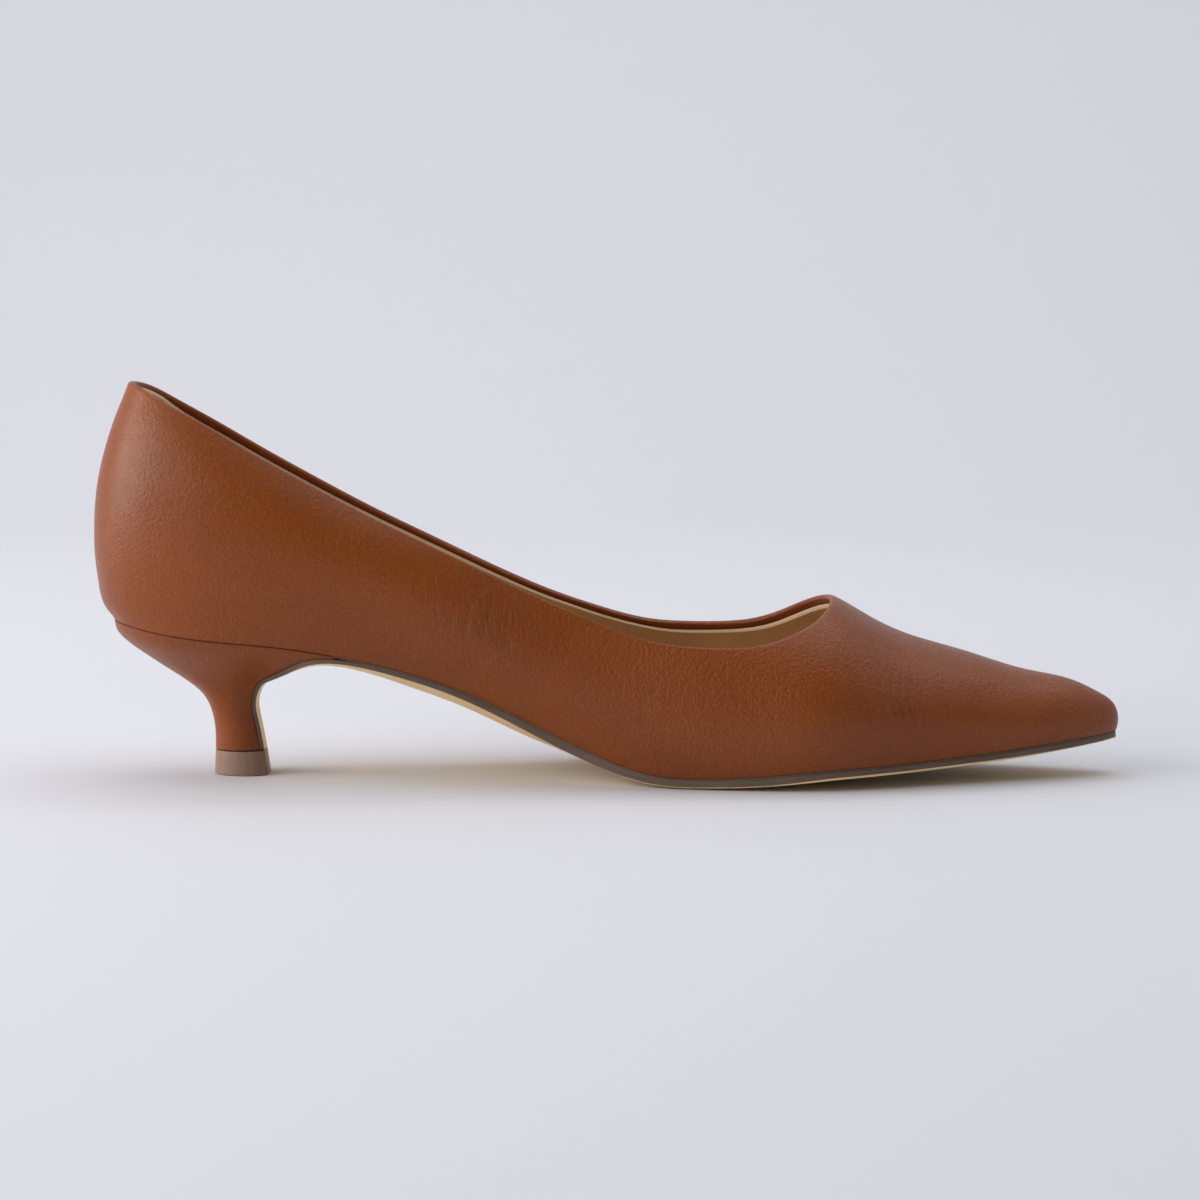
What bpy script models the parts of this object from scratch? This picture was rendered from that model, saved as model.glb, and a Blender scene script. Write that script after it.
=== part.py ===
"""Kitten heel pump in tan leather: one left shoe, standing empty on its sole.

The shoe stands on the plane z = 0. X runs to the toe, Y to the outer side of the foot and Z up.
The origin is the middle of the heel tip's underside. Lengths are in metres.

The upper is a thin wall laid on a last. The last is a half width for each place of the side view:
a plan outline gives how far each side reaches, and a section table gives how the sides round off
above and below their widest line. Sole, insole and heel take their outlines from the same last.
"""

import math

import bmesh
import bpy
import numpy as np

# The last, with the leather on it
SHOE_LENGTH = 0.2641
BALL_WIDTH = 0.078
SEAT_WIDTH = 0.058
SEAT_HEIGHT = 0.0396
COLLAR_HEIGHT = 0.062
INSTEP_HEIGHT = 0.0413
TOE_DEPTH = 0.014
TOE_SPRING = 0.0087
SEAT_TUCK = 0.0051
COLLAR_LEAN = 0.0094
HEEL_SETBACK = 0.0375
INNER_LIFT = 0.002
WAIST_TILT = 0.0028

# Walls and plates
UPPER_WALL = 0.0018
INSOLE_THICKNESS = 0.0026
BALL_SOLE_THICKNESS = 0.0027
SOLE_EDGE = 0.0023
FLAP_THICKNESS = 0.001
WAIST_CROWN = 0.0034
SOLE_INSET = 0.0003

# The heel and its tip
STEM_BACK = 0.007
STEM_FRONT = 0.0029
STEM_WIDTH = 0.013
BREAST_REACH = 0.0215
LIFT_HEIGHT = 0.0063
LIFT_FLARE = 0.0003
LIFT_FRONT_FLARE = 0.0009

# Shapes that are no lengths: the stem's round back as a share of its length, how much narrower its
# front is, the greatest slant of the wall at its lower edge and the angle past which an edge is
# sharp, in degrees.
STEM_ROUND = 0.6
FRONT_NARROWING = 0.3
WALL_SLANT = 35
SHARP_ANGLE = 40

# Between pieces that meet, and the thin end of the heel's leather between upper and sole
GAP = 0.0003
WEDGE_EDGE = 0.0004

BACK_X = -HEEL_SETBACK
TIP_X = BACK_X + SHOE_LENGTH
SIDES = ("in", "out")
SIGN = {"in": -1, "out": 1}


def table(columns, *rows):
    """A table of sections. The name of a column gives its values, from the first row to the last."""
    return {name: np.array([row[place] for row in rows]) for place, name in enumerate(columns.split())}


# Plan outline at the widest line, from the back of the heel to the tip of the toe: shares of the
# seat width on both sides, and of the ball width on the outer and the inner side.
PLAN = table(
    "station  seat  ball_out  ball_in",
    (0.00, 0.000, 0.000, 0.000),
    (0.03, 0.317, 0.000, 0.000),
    (0.08, 0.441, 0.000, 0.000),
    (0.15, 0.500, 0.000, 0.000),
    (0.25, 0.500, 0.005, 0.003),
    (0.35, 0.400, 0.087, 0.070),
    (0.45, 0.250, 0.235, 0.190),
    (0.55, 0.100, 0.420, 0.357),
    (0.62, 0.020, 0.497, 0.449),
    (0.70, 0.000, 0.470, 0.476),
    (0.78, 0.000, 0.370, 0.392),
    (0.86, 0.000, 0.266, 0.289),
    (0.93, 0.000, 0.178, 0.193),
    (0.98, 0.000, 0.092, 0.100),
    (1.00, 0.000, 0.000, 0.000),
)

# Sections across the last: height of the widest line over the feather edge, rise from there to the
# ridge, and drop on each side to where the section would close, all as shares of the local height.
# Behind the throat the ridge lies above the opening and only shapes the walls.
SECTIONS = table(
    "share  belly  rise  drop_out  drop_in",
    (0.000, 0.395, 0.968, 0.800, 0.800),
    (0.100, 0.392, 0.760, 0.795, 0.790),
    (0.150, 0.389, 0.630, 0.790, 0.780),
    (0.250, 0.391, 0.480, 0.720, 0.680),
    (0.350, 0.389, 0.640, 0.700, 0.574),
    (0.450, 0.363, 0.930, 0.642, 0.534),
    (0.550, 0.330, 1.048, 0.710, 0.649),
    (0.650, 0.298, 0.870, 0.811, 0.736),
    (0.720, 0.270, 0.714, 0.704, 0.704),
    (0.760, 0.270, 0.611, 0.690, 0.690),
    (0.800, 0.282, 0.608, 0.680, 0.680),
    (0.880, 0.370, 0.812, 0.900, 0.900),
    (0.940, 0.340, 0.770, 0.829, 0.829),
    (0.980, 0.245, 0.490, 0.520, 0.520),
    (0.995, 0.205, 0.300, 0.300, 0.300),
    (1.000, 0.190, 0.000, 0.000, 0.000),
)

# Where the local height passes from the collar's to the instep's, and on to the toe's
COLLAR_FADE = (0.10, 0.50)
TOE_FADE = (0.70, 0.95)

# Feather edge, where upper and sole meet: shares of the seat's height over the ball, of the toe
# spring, and of the tilt that lowers the outer side of the waist.
FEATHER = table(
    "share  arch  spring  tilt",
    (0.00, 1.038, 0.00, 0.00),
    (0.03, 1.010, 0.00, 0.00),
    (0.06, 0.974, 0.00, 0.00),
    (0.09, 0.944, 0.00, 0.00),
    (0.13, 0.917, 0.00, 0.00),
    (0.18, 0.888, 0.00, 0.00),
    (0.23, 0.834, 0.00, 0.00),
    (0.27, 0.772, 0.00, 0.02),
    (0.32, 0.676, 0.00, 0.60),
    (0.38, 0.507, 0.00, 1.00),
    (0.44, 0.296, 0.00, 0.98),
    (0.49, 0.134, 0.00, 0.70),
    (0.54, 0.020, 0.00, 0.25),
    (0.58, 0.000, 0.01, 0.03),
    (0.62, 0.000, 0.06, 0.00),
    (0.66, 0.000, 0.16, 0.00),
    (0.70, 0.000, 0.29, 0.00),
    (0.75, 0.000, 0.37, 0.00),
    (0.80, 0.000, 0.44, 0.00),
    (0.86, 0.000, 0.58, 0.00),
    (0.90, 0.000, 0.69, 0.00),
    (0.94, 0.000, 0.82, 0.00),
    (1.00, 0.000, 1.00, 0.00),
)

# Top edge of the upper over the feather edge: shares of the collar height, of the instep height and
# of what the inner side rises over the outer one.
TOP_EDGE = table(
    "share  collar  instep  inner",
    (0.03, 1.000, 0.000, 0.00),
    (0.045, 0.992, 0.000, 0.05),
    (0.07, 0.951, 0.000, 0.27),
    (0.11, 0.833, 0.055, 0.76),
    (0.16, 0.664, 0.142, 0.90),
    (0.22, 0.484, 0.245, 0.93),
    (0.30, 0.266, 0.422, 1.00),
    (0.38, 0.117, 0.586, 0.96),
    (0.45, 0.040, 0.722, 0.72),
    (0.52, 0.000, 0.815, 0.20),
    (0.58, 0.000, 0.810, -0.12),
    (0.62, 0.000, 0.802, -0.27),
    (0.65, 0.000, 0.816, -0.38),
    (0.68, 0.000, 0.876, -0.66),
    (0.70, 0.000, 0.938, -0.90),
    (0.71, 0.000, 0.967, -0.62),
    (0.72, 0.000, 0.992, 0.00),
)

# Back of the upper, by share of the collar height over the seat: how much of the tuck at the seat
# and of the lean at the collar pulls it in.
BACK = table(
    "height  tuck  lean",
    (0.000, 1.00, 0.00),
    (0.024, 0.89, 0.00),
    (0.045, 0.68, 0.00),
    (0.085, 0.39, 0.00),
    (0.170, 0.17, 0.00),
    (0.250, 0.05, 0.00),
    (0.395, 0.00, 0.00),
    (0.600, 0.00, 0.13),
    (0.740, 0.00, 0.36),
    (0.840, 0.00, 0.58),
    (0.930, 0.00, 0.82),
    (1.000, 0.00, 1.00),
)

# Heel, by share of its height: how much of the overhang behind the stem, and of the widening from
# the stem to the seat, is there.
HEEL_FLARE = table(
    "height  back  side",
    (0.00, 0.000, 0.000),
    (0.12, 0.000, 0.000),
    (0.26, 0.024, 0.005),
    (0.36, 0.070, 0.030),
    (0.45, 0.153, 0.075),
    (0.55, 0.322, 0.170),
    (0.65, 0.522, 0.320),
    (0.74, 0.697, 0.500),
    (0.84, 0.876, 0.720),
    (0.93, 0.980, 0.900),
    (1.00, 1.000, 1.000),
)

# Breast of the heel, down which the sole runs: shares of the breast's reach in front of the stem
# and of the height between heel tip and seat.
BREAST = table(
    "reach  height",
    (0.698, 0.940),
    (0.460, 0.850),
    (0.274, 0.768),
    (0.112, 0.690),
    (0.043, 0.600),
    (0.000, 0.457),
    (0.033, 0.260),
    (0.093, 0.000),
)

# The sole by share of its way from the toe along the arch and down to the heel tip: how much of the
# edge's extra thickness over the flap on the breast, and of the crown of its underside, is there.
SOLE = table(
    "way  edge  crown",
    (0.00, 0.38, 0.10),
    (0.10, 0.75, 0.18),
    (0.25, 0.85, 0.26),
    (0.36, 1.00, 0.36),
    (0.44, 0.82, 0.42),
    (0.52, 0.84, 0.36),
    (0.56, 0.84, 0.36),
    (0.60, 0.84, 0.60),
    (0.64, 0.72, 0.78),
    (0.70, 0.50, 0.90),
    (0.76, 0.38, 1.00),
    (0.82, 0.28, 0.80),
    (0.87, 0.34, 0.38),
    (0.92, 0.08, 0.14),
    (1.00, 0.00, 0.06),
)


def spline(places, values):
    """A smooth curve through the rows of a table, as a function."""
    count = len(places)
    span = np.diff(places)
    slope = np.diff(values) / span
    matrix = np.eye(count)
    change = np.zeros(count)
    for row in range(1, count - 1):
        matrix[row, row - 1:row + 2] = span[row - 1], 2 * (span[row - 1] + span[row]), span[row]
        change[row] = 6 * (slope[row] - slope[row - 1])
    bend = np.linalg.solve(matrix, change)

    def value(place):
        place = np.clip(place, places[0], places[-1])
        left = np.clip(np.searchsorted(places, place) - 1, 0, count - 2)
        after = (place - places[left]) / span[left]
        before = 1 - after
        curved = (before**3 - before) * bend[left] + (after**3 - after) * bend[left + 1]
        return before * values[left] + after * values[left + 1] + curved * span[left]**2 / 6

    return value


def turned(share):
    """The angle of a share of the length. A curve that runs to nothing over it has round ends."""
    return np.arccos(1 - 2 * np.clip(share, 0, 1))


def eased(share, span):
    """Runs smoothly from 0 to 1 across a span of shares."""
    way = np.clip((share - span[0]) / (span[1] - span[0]), 0, 1)
    return way**3 * (10 - 15 * way + 6 * way**2)


def curves(rows, key, places=None):
    """The splines of every column of a table over its first one."""
    places = rows[key] if places is None else places
    return {name: spline(places, values) for name, values in rows.items() if name != key}


PLAN_CURVES = curves(PLAN, "station", turned(PLAN["station"]))
SECTION_CURVES = curves(SECTIONS, "share", turned(SECTIONS["share"]))
FEATHER_CURVES = curves(FEATHER, "share")
TOP_EDGE_CURVES = curves(TOP_EDGE, "share")
BACK_CURVES = curves(BACK, "height")
FLARE_CURVES = curves(HEEL_FLARE, "height")
SOLE_CURVES = curves(SOLE, "way")


def share_of(x):
    """The share of the shoe's length at a place."""
    return np.clip((x - BACK_X) / SHOE_LENGTH, 0, 1)


def feather_height(x, side="in"):
    """Height of the edge where the upper meets the sole. Only at the waist do the sides differ."""
    share = share_of(x)
    arch = (SEAT_HEIGHT - BALL_SOLE_THICKNESS) * FEATHER_CURVES["arch"](share)
    drop = WAIST_TILT * FEATHER_CURVES["tilt"](share) if side == "out" else 0
    return BALL_SOLE_THICKNESS + arch + TOE_SPRING * FEATHER_CURVES["spring"](share) - drop


def top_edge_height(x, side="out"):
    """Height of the upper's top edge, from the back of the collar to the throat."""
    share = share_of(x)
    collar = COLLAR_HEIGHT * TOP_EDGE_CURVES["collar"](share)
    lift = INNER_LIFT * TOP_EDGE_CURVES["inner"](share) if side == "in" else 0
    return feather_height(x) + collar + INSTEP_HEIGHT * TOP_EDGE_CURVES["instep"](share) + lift


def section_size(x, column):
    """One measure of the section at x, in metres."""
    share = share_of(x)
    front = eased(share, COLLAR_FADE)
    toe = eased(share, TOE_FADE)
    local = COLLAR_HEIGHT * (1 - front) + INSTEP_HEIGHT * (front - toe) + TOE_DEPTH * toe
    return local * SECTION_CURVES[column](turned(share))


def belly_height(x, side="in"):
    """Height of the last's widest line."""
    return feather_height(x, side) + section_size(x, "belly")


def ridge_height(x):
    """Height of the last's top line."""
    return belly_height(x) + section_size(x, "rise")


def back_line(z):
    """The back of the upper at a height."""
    height = (z - SEAT_HEIGHT) / COLLAR_HEIGHT
    return BACK_X + SEAT_TUCK * BACK_CURVES["tuck"](height) + COLLAR_LEAN * BACK_CURVES["lean"](height)


def last_half_width(x, z, side):
    """How far the last reaches to one side of the middle at a place of the side view."""
    back = back_line(z)
    station = turned((x - back) / (TIP_X - back))
    reach = SEAT_WIDTH * PLAN_CURVES["seat"](station) + BALL_WIDTH * PLAN_CURVES["ball_" + side](station)
    over = z - belly_height(x, side)
    room = np.where(over > 0, section_size(x, "rise"), section_size(x, "drop_" + side))
    part = over / np.maximum(room, GAP)
    return reach * np.sqrt(np.clip(1 - part**2, 0, 1))


def crossing(difference, low, high):
    """Where a difference changes sign between two places."""
    for _ in range(50):
        middle = (low + high) / 2
        if (difference(low) > 0) == (difference(middle) > 0):
            low = middle
        else:
            high = middle
    return (low + high) / 2


def along(points):
    """A line of points as a function of the share of its length."""
    points = np.asarray(points)
    steps = np.linalg.norm(np.diff(points, axis=0), axis=1)
    lengths = np.append(0, np.cumsum(steps)) / steps.sum()
    return lambda share: np.stack([np.interp(share, lengths, points[:, axis]) for axis in (0, 1)], -1)


def line_over(height, start, end):
    """A line of the side view from one x to another, as a function of the share of the way."""
    def point(share):
        x = start + (end - start) * share
        return np.stack([x, height(x)], -1)

    return point


def filled(low, high, back, front, ways, ups):
    """Fills the outline between four lines of the side view with rows of places."""
    across = ways[None, :, None]
    up = ups[:, None, None]
    sides = (1 - up) * low(ways)[None] + up * high(ways)[None]
    ends = (1 - across) * back(ups)[:, None] + across * front(ups)[:, None]
    lower = (1 - across) * low(np.array([0.0]))[None] + across * low(np.array([1.0]))[None]
    upper = (1 - across) * high(np.array([0.0]))[None] + across * high(np.array([1.0]))[None]
    return sides + ends - (1 - up) * lower - up * upper


FEATHER_BACK_X = crossing(lambda x: x - back_line(feather_height(x)), BACK_X, BACK_X + 2 * SEAT_TUCK)
COLLAR_BACK_X = crossing(lambda x: x - back_line(top_edge_height(x)), BACK_X, BACK_X + 2 * COLLAR_LEAN)
FEATHER_TIP_X = crossing(
    lambda x: section_size(x, "drop_out") - section_size(x, "belly"), TIP_X - TOE_DEPTH, TIP_X
)
THROAT_X = crossing(
    lambda x: ridge_height(x) - top_edge_height(x),
    BACK_X + SHOE_LENGTH * TOP_EDGE["share"][-2],
    BACK_X + SHOE_LENGTH * TOP_EDGE["share"][-1],
)

# The heel's bottom and the front end of its wedge under the seat
STEM_FOOT = LIFT_HEIGHT + GAP
ARCH_START_X = STEM_FRONT + 1.35 * BREAST_REACH

# Columns and rows of the meshes
UPPER_COLUMNS = 46
UPPER_ROWS = 14
NOSE_CROWDING = 1.6
HEEL_COLUMNS = 14
HEEL_ROWS = 14
LIFT_COLUMNS = 14
INSOLE_COLUMNS = 40
SOLE_SECTIONS = 66
SOLE_POINTS = 9
OUTLINE_STEPS = 240


def round_ended(count):
    """Shares of a way that crowd towards both ends."""
    return (1 - np.cos(np.linspace(0, math.pi, count + 1))) / 2


def round_started(count):
    """Shares of a way that crowd towards its start."""
    return 1 - np.cos(np.linspace(0, math.pi / 2, count + 1))


def upper_back():
    """The upper's back from the feather edge to the collar."""
    heights = np.linspace(feather_height(FEATHER_BACK_X), top_edge_height(COLLAR_BACK_X), OUTLINE_STEPS)
    return along(np.stack([back_line(heights), heights], -1))


def upper_front():
    """The upper's front from the feather edge round the tip of the toe and up the ridge to the throat."""
    under = math.pi - float(turned(share_of(FEATHER_TIP_X)))
    over = math.pi - float(turned(share_of(THROAT_X)))
    angles = np.linspace(-under, over, OUTLINE_STEPS)
    x = BACK_X + SHOE_LENGTH * (1 + np.cos(angles)) / 2
    reach = np.where(angles > 0, section_size(x, "rise"), -section_size(x, "drop_out"))
    return along(np.stack([x, belly_height(x) + reach], -1))


def two_sided(places, half_widths):
    """Turns rows of side view places into rings: out along the inner side, back along the outer."""
    inner, outer = [
        np.stack([places[side][..., 0], SIGN[side] * half_widths[side], places[side][..., 1]], -1)
        for side in SIDES
    ]
    front_is_round = np.allclose(half_widths["in"][:, -1], 0)
    first = -2 if front_is_round else -1
    return np.concatenate([inner, outer[:, first:0:-1]], axis=1)


def upper_rings():
    """Rings of the upper's outer face, from the feather edge to the top edge."""
    back = upper_back()
    front = upper_front()
    places = {}
    half_widths = {}
    for side in SIDES:
        places[side] = filled(
            line_over(lambda x: feather_height(x, side), FEATHER_BACK_X, FEATHER_TIP_X),
            line_over(lambda x: top_edge_height(x, side), COLLAR_BACK_X, THROAT_X),
            back,
            lambda up: front(up**NOSE_CROWDING),
            round_ended(UPPER_COLUMNS),
            np.linspace(0, 1, UPPER_ROWS + 1),
        )
        half_widths[side] = last_half_width(places[side][..., 0], places[side][..., 1], side)
        half_widths[side][:, [0, -1]] = 0
    return two_sided(places, half_widths)


def feather_half_width(x, side):
    """Half width of what lies under the upper's edge: the sole, and the heel's seat."""
    x = np.clip(x, FEATHER_BACK_X, FEATHER_TIP_X)
    return np.maximum(last_half_width(x, feather_height(x, side), side) - SOLE_INSET, 0)


def sole_path():
    """Side view of the sole's upper face, from the toe along the arch and down the breast."""
    breast_height = feather_height(STEM_FRONT + BREAST_REACH) - GAP - STEM_FOOT
    start = FEATHER_TIP_X - SOLE_INSET
    front_x = start + (ARCH_START_X - start) * round_started(24)
    front = np.stack([front_x, feather_height(front_x) - GAP], -1)
    breast = np.stack(
        [STEM_FRONT + BREAST_REACH * BREAST["reach"], STEM_FOOT + breast_height * BREAST["height"]], -1
    )
    knots = np.concatenate([front, breast])
    lengths = np.append(0, np.cumsum(np.linalg.norm(np.diff(knots, axis=0), axis=1)))
    curve = [spline(lengths / lengths[-1], knots[:, axis]) for axis in (0, 1)]
    return lambda way: np.stack([curve[0](way), curve[1](way)], -1)


def normals_of(points):
    """The direction from the sole's upper face to its underside, for points along its path."""
    run = np.gradient(points, axis=0)
    run /= np.linalg.norm(run, axis=1)[:, None]
    return np.stack([-run[:, 1], run[:, 0]], -1)


def wedge_end_x(path):
    """Where the heel's leather thins out to a seam's width between the upper and the sole."""
    ways = np.linspace(0.6, 1, OUTLINE_STEPS)
    points = path(ways)
    room = feather_height(points[:, 0]) - 2 * GAP - points[:, 1]
    return float(np.interp(WEDGE_EDGE, room, points[:, 0]))


def front_share(share):
    """How far the narrowing of the heel's front has come, by share of the stem's length."""
    return np.clip((share - STEM_ROUND) / (1 - STEM_ROUND), 0, 1)**2


def heel_half_width(share, x, z, seat_x, side):
    """Half width of the heel: its round-backed stem widens to the outline of the seat."""
    height = np.clip((z - STEM_FOOT) / (feather_height(x) - GAP - STEM_FOOT), 0, 1)
    widening = FLARE_CURVES["side"](height)
    turn = np.clip(1 - share / STEM_ROUND, 0, 1)
    stem = STEM_WIDTH / 2 * np.sqrt(1 - turn**2) * (1 - FRONT_NARROWING * front_share(share))
    return stem + (feather_half_width(seat_x, side) - stem) * widening


def heel_rings(path):
    """Rings of the heel from its foot to the seat."""
    seat_front = wedge_end_x(path)
    ways = np.linspace(1, 0.6, OUTLINE_STEPS)
    breast = path(ways)
    breast = breast - GAP * normals_of(path(ways[::-1]))[::-1]
    breast = breast[breast[:, 0] < seat_front]
    breast[0, 1] = STEM_FOOT
    breast = np.append(breast, [[seat_front, feather_height(seat_front) - GAP]], axis=0)

    heights = np.linspace(0, 1, OUTLINE_STEPS)
    overhang = -STEM_BACK - FEATHER_BACK_X
    back_x = -STEM_BACK - overhang * FLARE_CURVES["back"](heights)
    back_z = STEM_FOOT + (feather_height(FEATHER_BACK_X) - GAP - STEM_FOOT) * heights

    ways = round_started(HEEL_COLUMNS)
    places = filled(
        line_over(lambda x: 0 * x + STEM_FOOT, back_x[0], breast[0, 0]),
        line_over(lambda x: feather_height(x) - GAP, back_x[-1], seat_front),
        along(np.stack([back_x, back_z], -1)),
        along(breast),
        ways,
        np.linspace(0, 1, HEEL_ROWS + 1),
    )
    seat_x = back_x[-1] + (seat_front - back_x[-1]) * ways[None, :]
    half_widths = {}
    for side in SIDES:
        half_widths[side] = heel_half_width(ways[None, :], places[..., 0], places[..., 1], seat_x, side)
        half_widths[side][:, 0] = 0
    return two_sided(dict.fromkeys(SIDES, places), half_widths)


def sole_rings(path):
    """Sections across the sole, from the toe to the foot of the breast."""
    ways = round_started(SOLE_SECTIONS)
    top = path(ways)
    down = normals_of(top)
    down[-1] = 1, 0
    edge = FLAP_THICKNESS + (SOLE_EDGE - FLAP_THICKNESS) * SOLE_CURVES["edge"](ways)
    crown = WAIST_CROWN * SOLE_CURVES["crown"](ways)
    seat_x = np.maximum(top[:, 0], wedge_end_x(path))
    half_widths = {
        side: np.where(
            top[:, 0] > ARCH_START_X,
            feather_half_width(top[:, 0], side),
            heel_half_width(1.0, top[:, 0], top[:, 1], seat_x, side),
        )
        for side in SIDES
    }
    drop = feather_height(top[:, 0]) - feather_height(top[:, 0], "out")
    share = np.linspace(-1, 1, SOLE_POINTS)
    rings = []
    for place in range(len(ways)):
        across = np.linspace(-half_widths["in"][place], half_widths["out"][place], SOLE_POINTS)
        depth = edge[place] + crown[place] * (1 - share**2)
        over = top[place] - np.outer((1 + share) / 2, (0, drop[place]))
        under = over + depth[:, None] * down[place]
        upper = [(x, y, z) for (x, z), y in zip(over, across)]
        lower = [(x, y, max(z, 0)) for (x, z), y in zip(under, across)]
        rings.append(upper + lower[::-1])
    return np.array(rings)


def inset_outline(x, half, distance):
    """An outline of one side, moved inwards by a distance, as half widths over x."""
    step = np.stack([np.gradient(x), np.gradient(half)], -1)
    step /= np.linalg.norm(step, axis=1)[:, None]
    moved_x = x + distance * step[:, 1]
    moved_half = half - distance * step[:, 0]
    inside = moved_half > 0
    return moved_x[inside], moved_half[inside]


def insole_rings():
    """Underside and top of the insole, which lies inside the upper's wall."""
    distance = UPPER_WALL / math.cos(math.radians(WALL_SLANT)) + GAP
    x = FEATHER_BACK_X + (FEATHER_TIP_X - FEATHER_BACK_X) * round_ended(4 * OUTLINE_STEPS)
    outlines = {}
    for side in SIDES:
        half = last_half_width(x, feather_height(x, side), side)
        half[[0, -1]] = 0
        outlines[side] = inset_outline(x, half, distance)
    start = max(outline[0][0] for outline in outlines.values())
    end = min(outline[0][-1] for outline in outlines.values())
    ways = start + (end - start) * round_ended(INSOLE_COLUMNS)
    places = {}
    half_widths = {}
    for side in SIDES:
        base = feather_height(ways, side)
        faces = [np.stack([ways, height], -1) for height in (base, base + INSOLE_THICKNESS)]
        places[side] = np.array(faces)
        half_widths[side] = np.tile(np.interp(ways, *outlines[side]), (2, 1))
        half_widths[side][:, [0, -1]] = 0
    return two_sided(places, half_widths)


def lift_rings(path):
    """Underside and top of the heel tip."""
    front = float(path(1.0)[0]) + FLAP_THICKNESS
    shares = round_started(LIFT_COLUMNS)
    turn = np.clip(1 - shares / STEM_ROUND, 0, 1)
    outline = np.sqrt(1 - turn**2) * (1 - FRONT_NARROWING * front_share(shares))
    rows = []
    half_widths = {side: [] for side in SIDES}
    for height, flare, front_flare in ((0, LIFT_FLARE, LIFT_FRONT_FLARE), (LIFT_HEIGHT, 0, 0)):
        x = -STEM_BACK - flare + (front + front_flare + STEM_BACK + flare) * shares
        rows.append(np.stack([x, np.full_like(x, height)], -1))
        for side in SIDES:
            half_widths[side].append((STEM_WIDTH / 2 + flare) * outline)
    half_widths = {side: np.array(values) for side, values in half_widths.items()}
    return two_sided(dict.fromkeys(SIDES, np.array(rows)), half_widths)


def leather(name, colour, roughness):
    """A plain surface in a piece's colour, roughness and no metal."""
    material = bpy.data.materials.new(name)
    material.use_nodes = True
    surface = material.node_tree.nodes["Principled BSDF"]
    surface.inputs["Base Color"].default_value = (*colour, 1)
    surface.inputs["Roughness"].default_value = roughness
    surface.inputs["Metallic"].default_value = 0
    material.diffuse_color = (*colour, 1)
    return material


def ladder(ring):
    """Faces that close a ring whose first corner lies at its back, rung by rung."""
    faces = [(ring[0], ring[1], ring[-1])]
    near, far = 1, len(ring) - 1
    while near + 1 < far - 1:
        faces.append((ring[near], ring[near + 1], ring[far - 1], ring[far]))
        near += 1
        far -= 1
    if near + 1 == far - 1:
        faces.append((ring[near], ring[near + 1], ring[far]))
    return faces


def lofted(name, rings, material, collection, caps=None):
    """An object whose skin runs from ring to ring. Its caps are ladders, flat faces or left open."""
    mesh = bpy.data.meshes.new(name)
    shape = bmesh.new()
    corners = [[shape.verts.new(point) for point in ring] for ring in rings.tolist()]
    for lower, upper in zip(corners, corners[1:]):
        for place in range(len(lower)):
            after = (place + 1) % len(lower)
            shape.faces.new((lower[place], lower[after], upper[after], upper[place]))
    if caps == "ladder":
        for face in ladder(corners[0][:1] + corners[0][:0:-1]) + ladder(corners[-1]):
            shape.faces.new(face)
    elif caps == "flat":
        shape.faces.new(corners[0][::-1])
        shape.faces.new(corners[-1])
    if caps:
        bmesh.ops.recalc_face_normals(shape, faces=shape.faces)
    shape.to_mesh(mesh)
    shape.free()
    mesh.shade_smooth()
    mesh.set_sharp_from_angle(angle=math.radians(SHARP_ANGLE))
    mesh.materials.append(material)
    piece = bpy.data.objects.new(name, mesh)
    collection.objects.link(piece)
    return piece


def main():
    for old in list(bpy.data.objects):
        bpy.data.objects.remove(old, do_unlink=True)
    collection = bpy.data.collections.new("kitten_heel_pump")
    bpy.context.scene.collection.children.link(collection)
    path = sole_path()

    tan = leather("tan_leather", (0.19, 0.06, 0.022), 0.42)
    upper = lofted("upper", upper_rings(), tan, collection)
    wall = upper.modifiers.new("wall", "SOLIDIFY")
    wall.thickness = UPPER_WALL
    wall.offset = -1
    wall.use_even_offset = True

    cover = leather("tan_heel_cover", (0.19, 0.06, 0.022), 0.42)
    lofted("heel", heel_rings(path), cover, collection, "ladder")
    sole_leather = leather("sole_leather", (0.6, 0.43, 0.23), 0.5)
    lofted("outsole", sole_rings(path), sole_leather, collection, "flat")
    board = leather("insole_board", (0.55, 0.4, 0.26), 0.6)
    lofted("insole", insole_rings(), board, collection, "ladder")
    rubber = leather("heel_tip_rubber", (0.3, 0.2, 0.14), 0.5)
    lofted("top_lift", lift_rings(path), rubber, collection, "ladder")


main()
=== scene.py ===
"""Kitten heel pump in tan leather: the left shoe on a pale studio floor, seen from its inner side.

X runs to the toe, Y to the outer side of the foot and Z up. Lengths are in metres. Every surface lies
on the last that also shapes the solids: a half width for each place of the side view. Here the upper
gets its folded top edge, its lining and its creases, and sole, heel and heel tip get rounded edges.
"""

import math

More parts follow.
